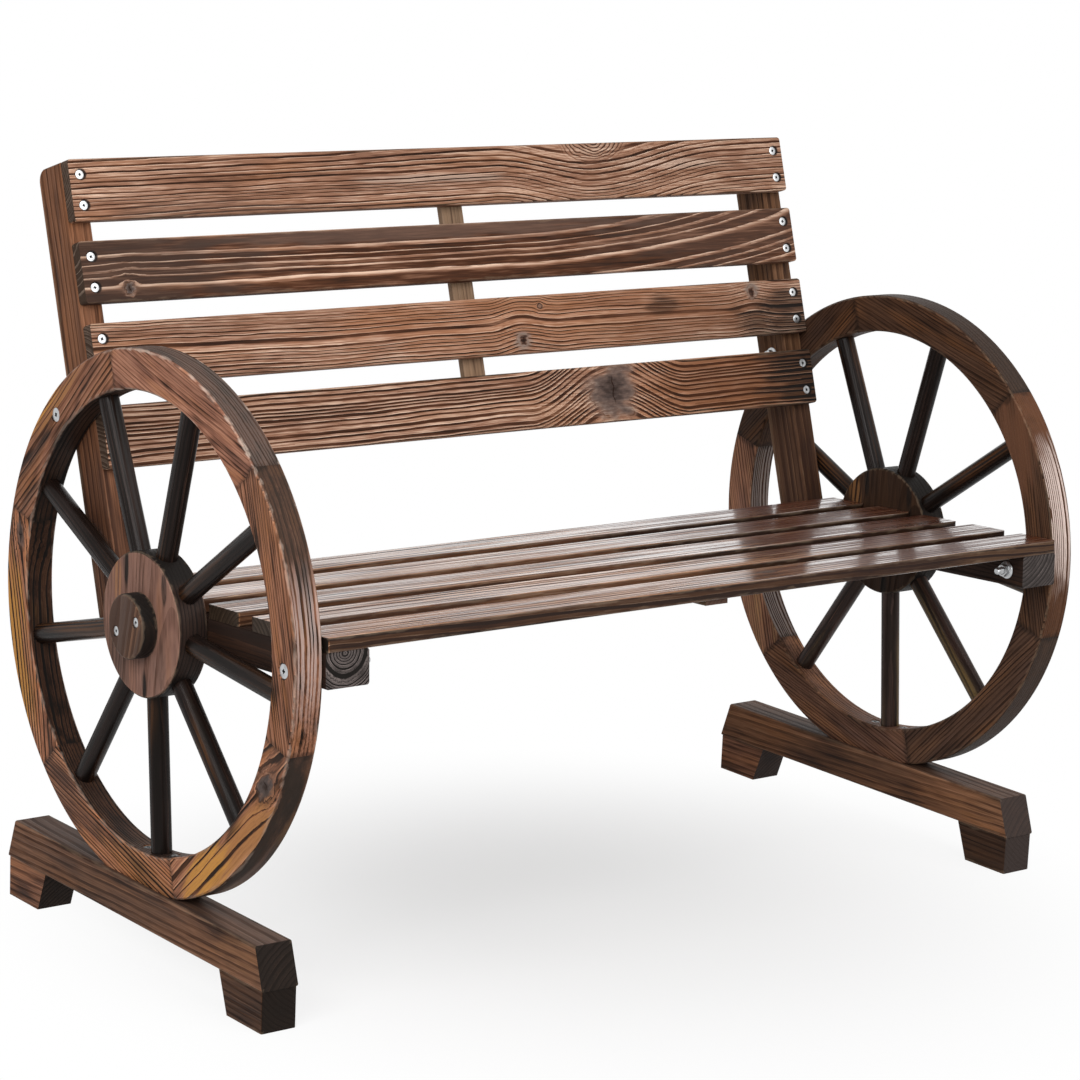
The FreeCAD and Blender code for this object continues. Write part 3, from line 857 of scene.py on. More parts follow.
@dataclass
class Wheel:
    """One wheel: six felloes, nine spokes, a hub and its cap."""

    side: Side
    rim_radius: float = 262.5
    rim_half: tuple[float, float] = (21.5, 16.25)
    first_joint: float = 45.0
    felloes: int = 6
    spokes: int = 9
    spoke_half: Size = (100.0, 11.0, 11.0)
    hub_half: Size = (76.0, 76.0, 17.0)
    cap_half: Size = (34.0, 34.0, 9.0)
    rim_seed: float = 50.0
    rim_seed_step: float = 3.7
    spoke_seed: float = 80.0
    spoke_seed_step: float = 2.3
    hub_seed: float = 110.0
    cap_seed: float = 114.0
    right_seed: float = 123.0
    # Painted light: the right wheel's lower spokes, shaded by the seat, are made this much lighter
    low_spoke_painted_light: Colour = (4.0, 3.9, 3.9)

    def spot(self, turn: float, offset: float = 0.0) -> tuple[float, float]:
        """Place on a felloe by its angle from the middle and its way out from the mid radius.

        Args:
            turn: Degrees from the felloe's middle, towards its lower joint angle.
            offset: Millimetres outwards from the middle of the rim.

        Returns:
            The place along and across the grain.
        """
        radius, angle = self.rim_radius + offset, math.radians(turn)
        return radius * math.sin(angle), radius * math.cos(angle) - self.rim_radius

    def right_growth(self) -> tuple[Growth, ...]:
        """Grow the felloes of the right wheel, which the picture shows from inside.

        Returns:
            Rings, stains and skins of the felloes from the first joint on.
        """
        pale = Skin((0.86, 0.69, 0.62), 0.95, True, (-70, 70))
        wavy = (Skin(SOOT_AND_SHADE, 0.8), Skin((0.34, 0.29, 0.27), 0.8, True))
        felloes = (
            dict(rings=Rings((-130, -110), 3.0, 0.01, 0.64, 0.30, 0.74)),
            dict(rings=Rings((-110, 120), 2.8, 0.0, 0.64, 0.30, 0.70)),
            dict(rings=Rings((-120, -100), 3.0, -0.01, 0.60, 0.32, 0.86), bore=wavy, tint=(4.2, 4.0, 4.2)),
            dict(rings=Rings((-140, 110), 3.2, 0.01, 0.62, 0.30, 0.76), tint=(2.5, 2.45, 2.6)),
            dict(rings=Rings((100, -120), 3.2, 0.0, 0.62, 0.30, 0.78), tint=(1.4, 1.45, 1.55)),
            dict(rings=Rings((-120, -120), 2.6, 0.0, 0.66, 0.26, 0.92, uneven=2.5),
                 outside=(Skin(RUSSET, 0.6), pale), tint=(0.95, 0.95, 0.95),
                 stains=(Stain(*self.spot(-20, 0), 80, 34, COPPER, 0.8),)),
        )
        return tuple({"outside": DUSKY, **felloe} for felloe in felloes)

    def left_growth(self) -> tuple[Growth, ...]:
        """Grow the felloes of the left wheel, which the picture shows from outside.

        Returns:
            Rings, knots, stains and skins of the felloes from the first joint on.
        """
        # Painted grey sheen on the ridges of the top felloe's tread
        crest = Skin((0.150, 0.120, 0.105), 0.55, True)
        # Front felloe's tread: a dark band at the top, and below it a pale pink painted sheen on the
        # ridges
        dark_band_and_sheen = (Skin((0.036, 0.024, 0.018), 0.90, band=(-300, -28)),
                  Skin((0.48, 0.37, 0.335), 0.80, True, (-20, 96)))
        felloes = (
            dict(rings=Rings((-130, -120), 2.8, 0.01, 0.66, 0.44, 0.82, uneven=2.5),
                 outside=(*DUSKY, crest), worn=0.8, tint=(1.00, 1.00, 1.09)),
            dict(rings=Rings((-110, -80), 4.4, 0.02, 0.64, 0.32, 0.86, 4.0, uneven=2.5),
                 outside=DUSKY, tint=(0.88, 0.86, 0.86),
                 stains=(Stain(*self.spot(-4, 21), 90, 9, HEART, 0.8),
                         Stain(*self.spot(2, 8), 80, 8, AMBER, 0.6),
                         Stain(*self.spot(-14, 2), 60, 7, SOOT_AND_SHADE, 0.7),
                         Stain(*self.spot(-24, -10), 44, 7, SOOT_AND_SHADE, 0.7))),
            dict(rings=Rings((-90, -60), 4.6, 0.05, 0.62, 0.0, 1.05, 4.0, uneven=2.5),
                 tint=(1.4, 1.3, 1.2), knots=(Knot(*self.spot(25, -4), 8, 2.2, 0.8, ringed=False),),
                 stains=(Stain(*self.spot(0, 20), 190, 44, HEART, 0.9),
                         Stain(*self.spot(22, 14), 40, 12, SOOT_AND_SHADE, 0.5))),
            dict(rings=Rings((-130, -110), 2.9, 0.0, 0.60, 0.08, 1.04, 1.6, uneven=1.4),
                 bore=(Skin(SOOT_AND_SHADE, 0.92),), tint=(1.30, 1.22, 1.12),
                 stains=(Stain(*self.spot(-16, 0), 90, 30, AMBER, 0.4),
                         Stain(*self.spot(20, 0), 84, 40, COCOA, 0.7))),
            dict(rings=Rings((60, -50), 11.0, -0.03, 0.75, 0.10, 0.92, 6.5, uneven=3.5),
                 outside=DUSKY, bore=(), tint=(1.3, 1.26, 1.2),
                 knots=(Knot(*self.spot(-20, -1), 13, 1.4, 0.8, ringed=False),),
                 stains=(Stain(*self.spot(-4, 4), 92, 24, AMBER, 0.75),
                         Stain(*self.spot(15, 3), 60, 30, HEART, 0.9),
                         Stain(*self.spot(-20, -1), 30, 22, UMBER, 0.85),
                         Stain(*self.spot(-28, 0), 30, 30, SMUDGE_AND_SHADE, 0.6))),
            dict(rings=Rings((-140, -130), 2.8, 0.0, 0.62, 0.30, 0.80, uneven=2.5),
                 outside=dark_band_and_sheen, worn=0.4, stains=(Stain(*self.spot(-22, 0), 50, 30, SMUDGE_AND_SHADE, 0.35),)),
        )
        return tuple({"bore": SOOTY, **felloe} for felloe in felloes)

    def dress_rim(self) -> None:
        """Dress the felloes."""
        step = 360.0 / self.felloes
        finish = RIM if self.side is Side.LEFT else SHADED_RIM
        hub = middle(f"{self.side.value}_hub")
        felloes = self.left_growth() if self.side is Side.LEFT else self.right_growth()
        for index, growth in enumerate(felloes):
            node = f"{self.side.value}_felloe_{index + 1}"
            angle = math.radians(self.first_joint + step * (index + 0.5))
            out = Vector((0, -math.cos(angle), math.sin(angle)))
            grain = Vector((0, -math.sin(angle), -math.cos(angle)))
            place = hub + out * self.rim_radius * MM
            place.x = middle(node).x
            board = Board(place, grain, LEFT_FACE, (self.rim_radius, *self.rim_half),
                          self.seed(self.rim_seed) + self.rim_seed_step * index, form=Form.RIM, **growth)
            dress_timber(node, finish, board)

    def seed(self, start: float) -> float:
        """A seed for this wheel's pieces."""
        return start + (0.0 if self.side is Side.LEFT else self.right_seed)

    def dress_spokes(self) -> None:
        """Dress the spokes."""
        hub, shaded = middle(f"{self.side.value}_hub"), self.side is Side.RIGHT
        for index in range(1, self.spokes + 1):
            node = f"{self.side.value}_spoke_{index}"
            place = middle(node)
            out = place - hub
            out.x = 0
            board = Board(place, out.normalized(), LEFT_FACE, self.spoke_half,
                          self.seed(self.spoke_seed) + self.spoke_seed_step * index,
                          Rings((-70, -48), 4.2, 0.01, 0.5, 0.18, 0.70), Form.ROD,
                          tint=self.low_spoke_painted_light if shaded and out.z < 0 else PLAIN)
            dress_timber(node, SPOKE, board)

    def dress_hub(self) -> None:
        """Dress the hub and its cap."""
        name = self.side.value
        stains = (Stain(60, 26, 30, 7, SOOT_AND_SHADE, 0.95), Stain(44, -48, 20, 6, SOOT_AND_SHADE, 0.9),
                  Stain(-64, -4, 22, 7, SOOT_AND_SHADE, 0.95), Stain(-40, 48, 52, 28, SMUDGE_AND_SHADE, 0.8),
                  Stain(44, 44, 28, 12, AMBER, 0.4), Stain(-40, -40, 40, 10, SMUDGE_AND_SHADE, 0.4))
        board = Board(middle(f"{name}_hub"), Vector((0, 0.08, 1)), LEFT_FACE, self.hub_half,
                      self.seed(self.hub_seed),
                      Rings((-60, -120), 4.4, 0.05, 0.66, 0.50, 0.72, 5.0, uneven=2.5),
                      Form.DISC, stains=stains, outside=SOOTY)
        dress_timber(f"{name}_hub", HUB if self.side is Side.LEFT else DARK_HUB, board)
        board = Board(middle(f"{name}_hub_cap"), Vector((0, -0.35, 1)), LEFT_FACE, self.cap_half,
                      self.seed(self.cap_seed), Rings((30, -70), 6.0, 0.05, 0.5, 0.30, 0.70),
                      Form.DISC, outside=SOOTY)
        dress_timber(f"{name}_hub_cap", CAP, board)

    def dress(self) -> None:
        """Dress the whole wheel."""
        self.dress_rim()
        self.dress_spokes()
        self.dress_hub()


@dataclass(frozen=True)
class BaseLook:
    """What differs between the timbers of the two sides."""

    seed: float
    beam_tint: Colour
    foot_tint: Colour
    post_tint: Colour
    rail_pith: tuple[float, float]
    plain: WoodFinish
    rail: WoodFinish


BASE_LOOKS = {
    Side.LEFT: BaseLook(
        seed=150.0, beam_tint=PLAIN, foot_tint=(0.5, 0.5, 0.5), post_tint=(0.98, 0.86, 0.76),
        rail_pith=(-16, 3), plain=FRAME, rail=RAIL),
    Side.RIGHT: BaseLook(
        seed=190.0, beam_tint=(1.25, 1.22, 1.15), foot_tint=(0.28, 0.28, 0.28),
        post_tint=(0.70, 0.70, 0.62), rail_pith=(-34, 30), plain=FRAME_PAINTED_LIT_ENDS, rail=RAIL_PAINTED_LIT_ENDS),
}


@dataclass
class Base:
    """One side's beam, feet, seat rail and back post."""

    side: Side
    beam_half: Size = (284.0, 22.0, 21.5)
    foot_half: Size = (50.0, 22.0, 20.5)
    rail_half: Size = (275.0, 25.5, 18.25)
    post_half: Size = (250.0, 24.25, 14.0)
    seed_step: float = 3.3

    def timbers(self) -> tuple[tuple[str, Vector, Size, Growth], ...]:
        """List the timbers.

        Returns:
            Name, grain, half sizes and growth of each.
        """
        rise = middle("back_slat_1") - middle("back_slat_4")
        rear = middle("seat_slat_5") - middle("seat_slat_1")
        level, look = Vector((0, 1, 0)), BASE_LOOKS[self.side]
        return (
            ("base_beam", level, self.beam_half, dict(
                rings=Rings((90, -70), 6.0, 0.02, 0.62, 0.38, 0.72), tint=look.beam_tint,
                stains=(Stain(20, 0, 150, 30, SMUDGE_AND_SHADE, 0.45), Stain(-210, -4, 60, 26, AMBER, 0.12)),
                # Painted shade: the beam's top face is darker than its sides, as the light falls
                bore=(Skin(SMUDGE_AND_SHADE, 0.75),))),
            ("front_foot", level, self.foot_half, dict(
                rings=Rings((-70, -54), 5.0, 0.02, 0.6, 0.34, 0.62), tint=look.foot_tint)),
            ("rear_foot", level, self.foot_half, dict(
                rings=Rings((70, -54), 5.0, 0.02, 0.6, 0.34, 0.62), tint=(1.8, 1.7, 1.7))),
            ("seat_rail", rear, self.rail_half, dict(
                rings=Rings(look.rail_pith, 4.4, 0.01, 0.6, 0.16, 0.50, 5.0, uneven=3.0),
                tint=(0.40, 0.37, 0.36), stains=(Stain(0, 0, 560, 130, TAR, 0.75),))),
            ("back_post", rise, self.post_half, dict(
                rings=Rings((-110, -60), 8.0, 0.01, 0.66, 0.36, 0.76), tint=look.post_tint,
                stains=(Stain(-200, 0, 230, 60, MAHOGANY, 0.75),))),
        )

    def dress(self) -> None:
        """Dress the side's timbers."""
        look = BASE_LOOKS[self.side]
        for index, (name, grain, half, growth) in enumerate(self.timbers()):
            node = f"{self.side.value}_{name}"
            board = Board(middle(node), grain.normalized(), LEFT_FACE, half,
                          look.seed + self.seed_step * index, **growth)
            dress_timber(node, look.rail if name == "seat_rail" else look.plain, board)


def link(name: str, data: bpy.types.ID) -> Piece:
    """Put an object in the scene.

    Args:
        name: Name of the object.
        data: Its mesh, lamp or camera.

    Returns:
        The object.
    """
    piece = bpy.data.objects.new(name, data)
    bpy.context.scene.collection.objects.link(piece)
    return piece


class Shop:
    """Modelling steps as by hand, one object at a time, in millimetres."""

    MERGE = 0.001
    THREAD_ROOT = 0.42
    THREAD_CREST = 0.06
    RECESS_TAPER = (0.45, 0.7, 1)

    @staticmethod
    def rest() -> None:
        """Leave edit mode with nothing selected."""
        if bpy.context.object and bpy.context.object.mode != "OBJECT":
            bpy.ops.object.mode_set(mode="OBJECT")
        bpy.ops.object.select_all(action="DESELECT")

    @staticmethod
    def pick(*pieces: Piece) -> None:
        """Select some objects alone.

        Args:
            pieces: The objects, the first of which becomes active.
        """
        Shop.rest()
        for piece in pieces:
            piece.select_set(True)
        bpy.context.view_layer.objects.active = pieces[0]

    @staticmethod
    @contextmanager
    def editing(piece: Piece) -> Iterator[None]:
        """Edit a piece with all of it selected, and leave edit mode afterwards.

        Args:
            piece: The object to edit.

        Yields:
            Nothing, while the piece is in edit mode.
        """
        Shop.pick(piece)
        bpy.ops.object.mode_set(mode="EDIT")
        bpy.ops.mesh.select_all(action="SELECT")
        yield
        bpy.ops.object.mode_set(mode="OBJECT")

    @staticmethod
    def stroke(name: str, points: Sequence[tuple[float, float]]) -> Piece:
        """Draw an open line in the XZ plane by extruding one vertex.

        Args:
            name: Name of the object.
            points: Its corners as (x, z).

        Returns:
            The line's object.
        """
        Shop.rest()
        bpy.ops.mesh.primitive_plane_add(size=1.0, location=(0, 0, 0))
        line = bpy.context.object
        line.name = name
        with Shop.editing(line):
            bpy.ops.mesh.select_mode(type="VERT")
            bpy.ops.mesh.merge(type="CENTER")
            bpy.ops.transform.translate(value=(points[0][0], 0, points[0][1]))
            for (x, z), (next_x, next_z) in zip(points, points[1:]):
                bpy.ops.mesh.extrude_region_move(
                    TRANSFORM_OT_translate={"value": (next_x - x, 0, next_z - z)})
        return line

    @staticmethod
    def apply(piece: Piece, kind: str, settings: Mapping[str, Any]) -> None:
        """Add a modifier and apply it.

        Args:
            piece: The object to change.
            kind: Type of the modifier.
            settings: Its properties.
        """
        Shop.pick(piece)
        modifier = piece.modifiers.new(kind.title(), kind)
        for name, setting in settings.items():
            setattr(modifier, name, setting)
        bpy.ops.object.modifier_apply(modifier=modifier.name)

    @staticmethod
    def clean(piece: Piece) -> None:
        """Merge doubles, close open ends and turn the faces outwards.

        Args:
            piece: The object to clean.
        """
        with Shop.editing(piece):
            bpy.ops.mesh.remove_doubles(threshold=Shop.MERGE)
            bpy.ops.mesh.fill_holes(sides=0)
            bpy.ops.mesh.normals_make_consistent(inside=False)

    @staticmethod
    def turned(name: str, profile: Sequence[tuple[float, float]], steps: int) -> Piece:
        """Turn a solid round the Z axis.

        Args:
            name: Name of the object.
            profile: Its corners as (radius, height).
            steps: Faces to a turn.

        Returns:
            The solid's object.
        """
        piece = Shop.stroke(name, profile)
        Shop.apply(piece, "SCREW", {"steps": steps, "render_steps": steps, "use_merge_vertices": True})
        Shop.clean(piece)
        return piece

    @staticmethod
    def thread(name: str, root: float, crest: float, pitch: float, top: float, turns: int,
               steps: int) -> Piece:
        """Wind a thread downwards round the Z axis.

        Args:
            name: Name of the object.
            root: Radius inside the core.
            crest: Radius of the ridge.
            pitch: Rise of one turn.
            top: Height of the thread's upper end.
            turns: Number of turns.
            steps: Faces to a turn.

        Returns:
            The thread's object.
        """
        foot, low, high = top - turns * pitch, pitch * Shop.THREAD_ROOT, pitch * Shop.THREAD_CREST
        piece = Shop.stroke(name, [(root, foot - low), (crest, foot - high),
                                   (crest, foot + high), (root, foot + low)])
        with Shop.editing(piece):
            bpy.ops.mesh.edge_face_add()
            bpy.ops.mesh.delete(type="ONLY_FACE")
        Shop.apply(piece, "SCREW", {"steps": steps, "render_steps": steps, "screw_offset": pitch,
                                    "iterations": turns})
        Shop.clean(piece)
        return piece

    @staticmethod
    def combine(piece: Piece, tool: Piece, operation: str) -> None:
        """Cut, join or trim a piece with a tool.

        Args:
            piece: The object to change.
            tool: The other object, which is used up.
            operation: Name of the boolean operation.
        """
        Shop.apply(piece, "BOOLEAN", {"object": tool, "operation": operation, "solver": "EXACT",
                                      "material_mode": "TRANSFER"})
        bpy.data.objects.remove(tool)

    @staticmethod
    def cross_bar(length: float, width: float, depth: float, turn: float) -> Piece:
        """A tapered bar that cuts one arm pair of a cross recess.

        Args:
            length: Length across the head.
            width: Width of the slot.
            depth: Depth under the head's top.
            turn: Angle about the head's axis in degrees.

        Returns:
            The bar's object.
        """
        Shop.rest()
        bpy.ops.mesh.primitive_cube_add(size=1.0, location=(0, 0, 0))
        bar = bpy.context.object
        with Shop.editing(bar):
            bpy.ops.transform.resize(value=(length, width, 2 * depth), center_override=(0, 0, 0))
        for polygon in bar.data.polygons:
            polygon.select = polygon.normal.z < -0.9
        bpy.ops.object.mode_set(mode="EDIT")
        bpy.ops.mesh.select_mode(type="FACE")
        bpy.ops.transform.resize(value=Shop.RECESS_TAPER, center_override=(0, 0, -depth))
        bpy.ops.mesh.select_all(action="SELECT")
        bpy.ops.transform.rotate(value=math.radians(turn), orient_axis="Z", center_override=(0, 0, 0))
        bpy.ops.object.mode_set(mode="OBJECT")
        return bar


@dataclass(frozen=True)
class Place:
    """Where one fastener sits: the top of its head, the way it points out and its length."""

    head: Vector
    out: Vector
    length: float

    def matrix(self, roll: float) -> Matrix:
        """Move a fastener from its own millimetres to the bench's metres.

        Args:
            roll: Turn about the fastener's axis in radians.

        Returns:
            The move.
        """
        turn = self.out.to_track_quat("Z", "Y").to_matrix().to_4x4()
        return (Matrix.Translation(self.head) @ turn @ Matrix.Rotation(roll, 4, "Z")
                @ Matrix.Scale(MM, 4))


@dataclass
class FastenerSet:
    """A group of equal countersunk fasteners that stands for one CAD node, in millimetres."""

    node: str
    head: float
    shank: float = 8.0
    pitch: float = 1.25
    thread: float = 30.0
    recess: Optional[Size] = None
    steps: int = 24
    plate: ZincFinish = ZINC
    blunt: bool = False
    roll: float = 0.82
    thread_depth: float = 0.55
    head_edge: float = 0.9
    smooth_angle: float = 32.0
    models: dict[int, Piece] = field(default_factory=dict)
    plated: Optional[bpy.types.Material] = None
    hollow: Optional[bpy.types.Material] = None

    def places(self) -> list[Place]:
        """Find the CAD node's fasteners from a merged copy of its mesh.

        Returns:
            The places, sorted by where the heads are.
        """
        Shop.rest()
        copy = link("loose_copy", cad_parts[self.node].data.copy())
        with Shop.editing(copy):
            bpy.ops.mesh.remove_doubles(threshold=TOUCH)
            bpy.ops.mesh.separate(type="LOOSE")
        found = []
        for part in list(bpy.context.selected_objects):
            found.append(self.measure([vertex.co.copy() for vertex in part.data.vertices]))
            bpy.data.objects.remove(part)
        return sorted(found, key=lambda place: tuple(round(part, 4) for part in place.head))

    def measure(self, points: list[Vector]) -> Place:
        """Find the head of one fastener.

        Args:
            points: The points of its mesh in metres.

        Returns:
            Its place.
        """
        cloud = np.array(points)
        centre = (cloud.min(0) + cloud.max(0)) / 2
        axis = np.linalg.svd(cloud - cloud.mean(0), full_matrices=False)[2][0]
        reach = (cloud - centre) @ axis
        width = np.linalg.norm(cloud - centre - np.outer(reach, axis), axis=1)
        if width[reach > reach.max() - MM].max() < width[reach < reach.min() + MM].max():
            axis, reach = -axis, -reach
        tip = Vector(cloud[reach.argmin()])
        top = cloud[reach > reach.max() - TOUCH].mean(0)
        return Place(Vector(top), Vector(axis), (Vector(top) - tip).dot(Vector(axis)) / MM)

    def model(self, length: float) -> Piece:
        """Model one fastener with its thread and cross recess.

        Args:
            length: Its whole length.

        Returns:
            The model, with the top of its head at the origin.
        """
        head, core = self.head / 2, self.shank / 2 - self.thread_depth
        sink, start = head - self.shank / 2 + self.head_edge, length - self.thread
        point, tip = (1.0, core - 0.6) if self.blunt else (self.shank, 0.0)
        piece = Shop.turned(self.node + "_model", [
            (0, 0), (head - 0.45, 0), (head - 0.12, -0.12), (head, -0.4), (head, -0.75),
            (self.shank / 2, -sink), (self.shank / 2, -start), (core, -start - 0.5),
            (core, point - length), (tip, -length)] + ([(0, -length)] if tip else []), self.steps * 2)
        piece.data.materials.append(self.plated)
        long, wide, deep = self.recess
        for turn in (0.0, 90.0):
            bar = Shop.cross_bar(long, wide, deep, turn)
            bar.data.materials.append(self.hollow)
            Shop.combine(piece, bar, "DIFFERENCE")
        turns = int((self.thread - point - 1.0) / self.pitch)
        ridge = Shop.thread("thread", core - 0.15, self.shank / 2, self.pitch, -start - 1.0, turns,
                            self.steps)
        ridge.data.materials.append(self.plated)
        Shop.pick(piece, ridge)
        bpy.ops.object.join()
        return piece

    def build(self) -> Piece:
        """Model the fastener once for each length, copy it to every place and join the copies.

        Returns:
            The joined piece.
        """
        self.plated = self.plate.material(self.node + "_zinc")
        if self.recess:
            self.hollow = SHADED_RECESS.material(self.node + "_recess")
        copies = []
        for index, place in enumerate(self.places()):
            key = round(place.length)
            if key not in self.models:
                self.models[key] = self.model(place.length)
            mesh = self.models[key].data.copy()
            mesh.transform(place.matrix(self.roll * index))
            copies.append(link(f"{self.node}_{index}", mesh))
        for model in self.models.values():
            bpy.data.objects.remove(model)
        Shop.pick(*copies)
        bpy.ops.object.join()
        piece = bpy.context.object
        piece.name = self.node + "_plated"
        bpy.ops.object.shade_smooth_by_angle(angle=math.radians(self.smooth_angle))
        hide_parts(self.node)
        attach(piece, "root")
        LOG.info("built %s with %d copies", piece.name, len(copies))
        return piece


@dataclass
class NutSet(FastenerSet):
    """Hexagon nuts with a pressed flange, whose head is the width across their flats."""

    flange: float = 20.0
    flange_height: float = 2.0
    bore: float = 8.3
    chamfer: float = 30.0
    clear: float = 12.0
    cone_steps: int = 96
    flange_steps: int = 64
    bore_steps: int = 48

    def measure(self, points: list[Vector]) -> Place:
        """Find the free end of one nut, which points towards the bench's middle.

        Args:
            points: The points of its mesh in metres.

        Returns:
            Its place.
        """
        low = Vector([min(point[axis] for point in points) for axis in range(3)])
        high = Vector([max(point[axis] for point in points) for axis in range(3)])
        centre = (low + high) / 2
        out = Vector((-math.copysign(1.0, centre.x), 0, 0))
        return Place(centre + out * (high.x - low.x) / 2, out, (high.x - low.x) / MM)

    def model(self, length: float) -> Piece:
        """Model one nut: a chamfered hexagon on its flange, bored through.

        Args:
            length: Its height.

        Returns:
            The model, with its free end at the origin.
        """
        Shop.rest()
        corner, flat = self.head / math.sqrt(3), self.head / 2
        bpy.ops.mesh.primitive_cylinder_add(vertices=6, radius=corner, depth=length,
                                            location=(0, 0, 0))
        piece = bpy.context.object
        with Shop.editing(piece):
            bpy.ops.transform.translate(value=(0, 0, -length / 2))
        piece.data.materials.append(self.plated)
        slope = math.tan(math.radians(self.chamfer))
        clear, top = self.clear, flat - 0.3
        cone = Shop.turned("chamfer", [(0, 0), (top, 0), (clear, (top - clear) * slope),
                                       (clear, -length - 1), (0, -length - 1)], self.cone_steps)
        Shop.combine(piece, cone, "INTERSECT")
        wide, low = self.flange / 2, -length
        flange = Shop.turned("flange", [
            (0, low), (wide - 0.3, low), (wide, low + 0.3), (wide, low + 0.8), (wide - 0.4, low + 1.2),
            (flat + 0.6, low + self.flange_height + 0.3), (0, low + self.flange_height + 0.3)],
            self.flange_steps)
        Shop.combine(piece, flange, "UNION")
        hole = self.bore / 2
        bore = Shop.turned("bore", [(0, 1), (hole + 1.6, 1), (hole, -0.7), (hole, low - 1),
                                    (0, low - 1)], self.bore_steps)
        Shop.combine(piece, bore, "DIFFERENCE")
        return piece


@dataclass(frozen=True)
class Lamp:
    """A square lamp that faces the bench, in metres and watts."""

    name: str
    place: Size
    side: float
    power: float

    def hang(self, target: Vector) -> None:
        """Hang the lamp.

        Args:
            target: The place that it faces.
        """
        data = bpy.data.lights.new(self.name, "AREA")
        data.shape, data.size, data.energy = "SQUARE", self.side, self.power
        lamp = link(self.name, data)
        lamp.location = self.place
        lamp.rotation_euler = (target - lamp.location).to_track_quat("-Z", "Y").to_euler()


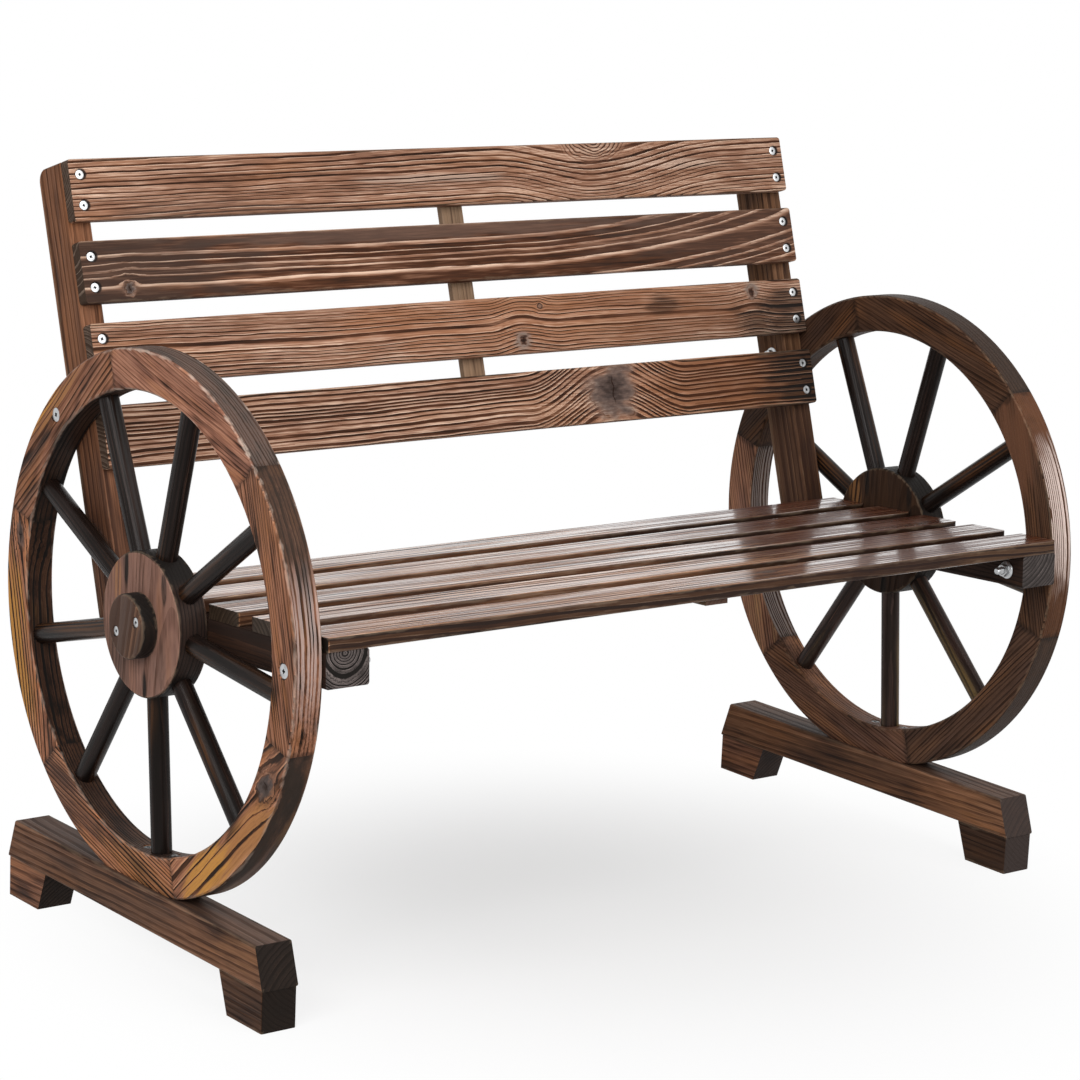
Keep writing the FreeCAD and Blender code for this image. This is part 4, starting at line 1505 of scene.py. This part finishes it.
@dataclass
class Studio:
    """Camera, lamps, floor and surround."""

    lens: float = 113.13
    sensor: float = 36.0
    eye: Size = (-2.29124, -2.90618, 1.19617)
    azimuth: float = 37.974
    pitch: float = -12.143
    roll: float = 2.52
    ambient: float = 0.30
    lamps: tuple[Lamp, ...] = (Lamp("front_lamp", (0.7, -3.0, 2.4), 3.3, 88.0),
                               Lamp("side_lamp", (-1.8, -0.9, 1.4), 1.1, 24.0),
                               Lamp("rear_lamp", (1.9, 2.4, 1.0), 2.0, 6.5))
    lamp_target: Size = (0.0, 0.0, 0.4)
    floor_half: float = 6.0
    # Painted soft shadow under the bench: the white share at its middle, that middle, and the distances
    # over which it fades to white
    floor_white: float = 0.45
    painted_shadow_middle: Size = (-0.02, -0.12, 0.0)
    painted_shadow_fade: tuple[float, float] = (0.08, 0.70)
    floor_greys: tuple[float, float] = (0.40, 0.92)

    def place_camera(self) -> None:
        """Stand the camera where the picture was taken."""
        data = bpy.data.cameras.new("camera")
        data.lens, data.sensor_width, data.dof.use_dof = self.lens, self.sensor, False
        camera = link("camera", data)
        camera.matrix_world = (
            Matrix.Translation(self.eye)
            @ Matrix.Rotation(math.radians(-self.azimuth), 4, "Z")
            @ Matrix.Rotation(math.radians(90 + self.pitch), 4, "X")
            @ Matrix.Rotation(math.radians(self.roll), 4, "Z"))
        bpy.context.scene.camera = camera

    @staticmethod
    def seen(graph: Graph) -> Value:
        """Tell the rays that show a surface from those that light others.

        Args:
            graph: The graph of a material or of the world.

        Returns:
            1 for rays from the camera and for mirror or glass rays.
        """
        rays = graph.add("ShaderNodeLightPath", {}, {}).socket.node.outputs
        camera, glossy, through = (Value(graph, rays[name]) for name in (
            "Is Camera Ray", "Is Glossy Ray", "Is Transmission Ray"))
        return camera.at_least(glossy).at_least(through)

    def lay_floor(self) -> None:
        """Lay a pale floor that keeps the bench's shadow, darkens to a painted soft shadow under the bench
        and fades to white far off.
        """
        Shop.rest()
        bpy.ops.mesh.primitive_plane_add(size=2 * self.floor_half, location=(0, 0, 0))
        floor = bpy.context.object
        floor.name = "studio_floor"
        material, graph = new_material("studio_paper")
        spot = graph.add("ShaderNodeTexCoord", {}, {}, "Object")
        far = graph.add("ShaderNodeVectorMath", {"operation": "DISTANCE"},
                        {0: spot, 1: self.painted_shadow_middle}, "Value")
        # Painted shadow: less white glow near the middle under the bench
        share = self.floor_white + (1 - self.floor_white) * far.rise(*self.painted_shadow_fade)
        shadow, paper = (graph.add("ShaderNodeBsdfDiffuse", {}, {"Color": (grey, grey, grey, 1)})
                         for grey in self.floor_greys)
        white = graph.add("ShaderNodeEmission", {}, {"Color": (1, 1, 1, 1), "Strength": 1.0})
        bright = graph.add("ShaderNodeMixShader", {}, {0: share, 1: paper, 2: white})
        graph.surface(OUTPUT, graph.add(
            "ShaderNodeMixShader", {}, {0: self.seen(graph), 1: shadow, 2: bright}))
        floor.data.materials.append(material)

    def surround(self) -> None:
        """Surround the bench with white that lights it softly."""
        world = bpy.data.worlds.new("studio_surround")
        world.use_nodes = True
        bpy.context.scene.world = world
        graph = Graph(world.node_tree)
        soft = graph.add("ShaderNodeBackground", {}, {"Color": (1, 1, 1, 1), "Strength": self.ambient})
        white = graph.add("ShaderNodeBackground", {}, {"Color": (1, 1, 1, 1), "Strength": 1.0})
        graph.surface("ShaderNodeOutputWorld", graph.add(
            "ShaderNodeMixShader", {}, {0: self.seen(graph), 1: soft, 2: white}))

    def build(self) -> None:
        """Set up the studio."""
        self.place_camera()
        for lamp in self.lamps:
            lamp.hang(Vector(self.lamp_target))
        self.lay_floor()
        self.surround()
        bpy.context.scene.view_settings.view_transform = "Standard"
        LOG.info("studio ready")


def main() -> None:
    """Build the studio, dress the timber and fit the fasteners."""
    logging.basicConfig(level=logging.INFO, format="%(name)s: %(message)s")
    Studio().build()
    Back().dress()
    Seat().dress()
    for side in Side:
        Wheel(side).dress()
        Base(side).dress()
    for fasteners in (
            FastenerSet("wood_screws", head=10.0, shank=4.5, pitch=1.9, thread=21.0,
                        recess=(8.0, 2.1, 2.2), steps=16),
            FastenerSet("batten_screws", head=8.0, shank=3.5, pitch=1.6, thread=13.0,
                        recess=(6.0, 1.6, 1.6), steps=16),
            FastenerSet("base_screws", head=11.0, shank=5.5, pitch=2.4, thread=40.0,
                        recess=(8.4, 2.2, 2.4), steps=16, plate=DULL_ZINC),
            FastenerSet("frame_bolts", head=15.0, recess=(11.0, 2.7, 3.0), blunt=True),
            NutSet("frame_nuts", head=13.0)):
        fasteners.build()


if __name__ == "__main__":
    main()
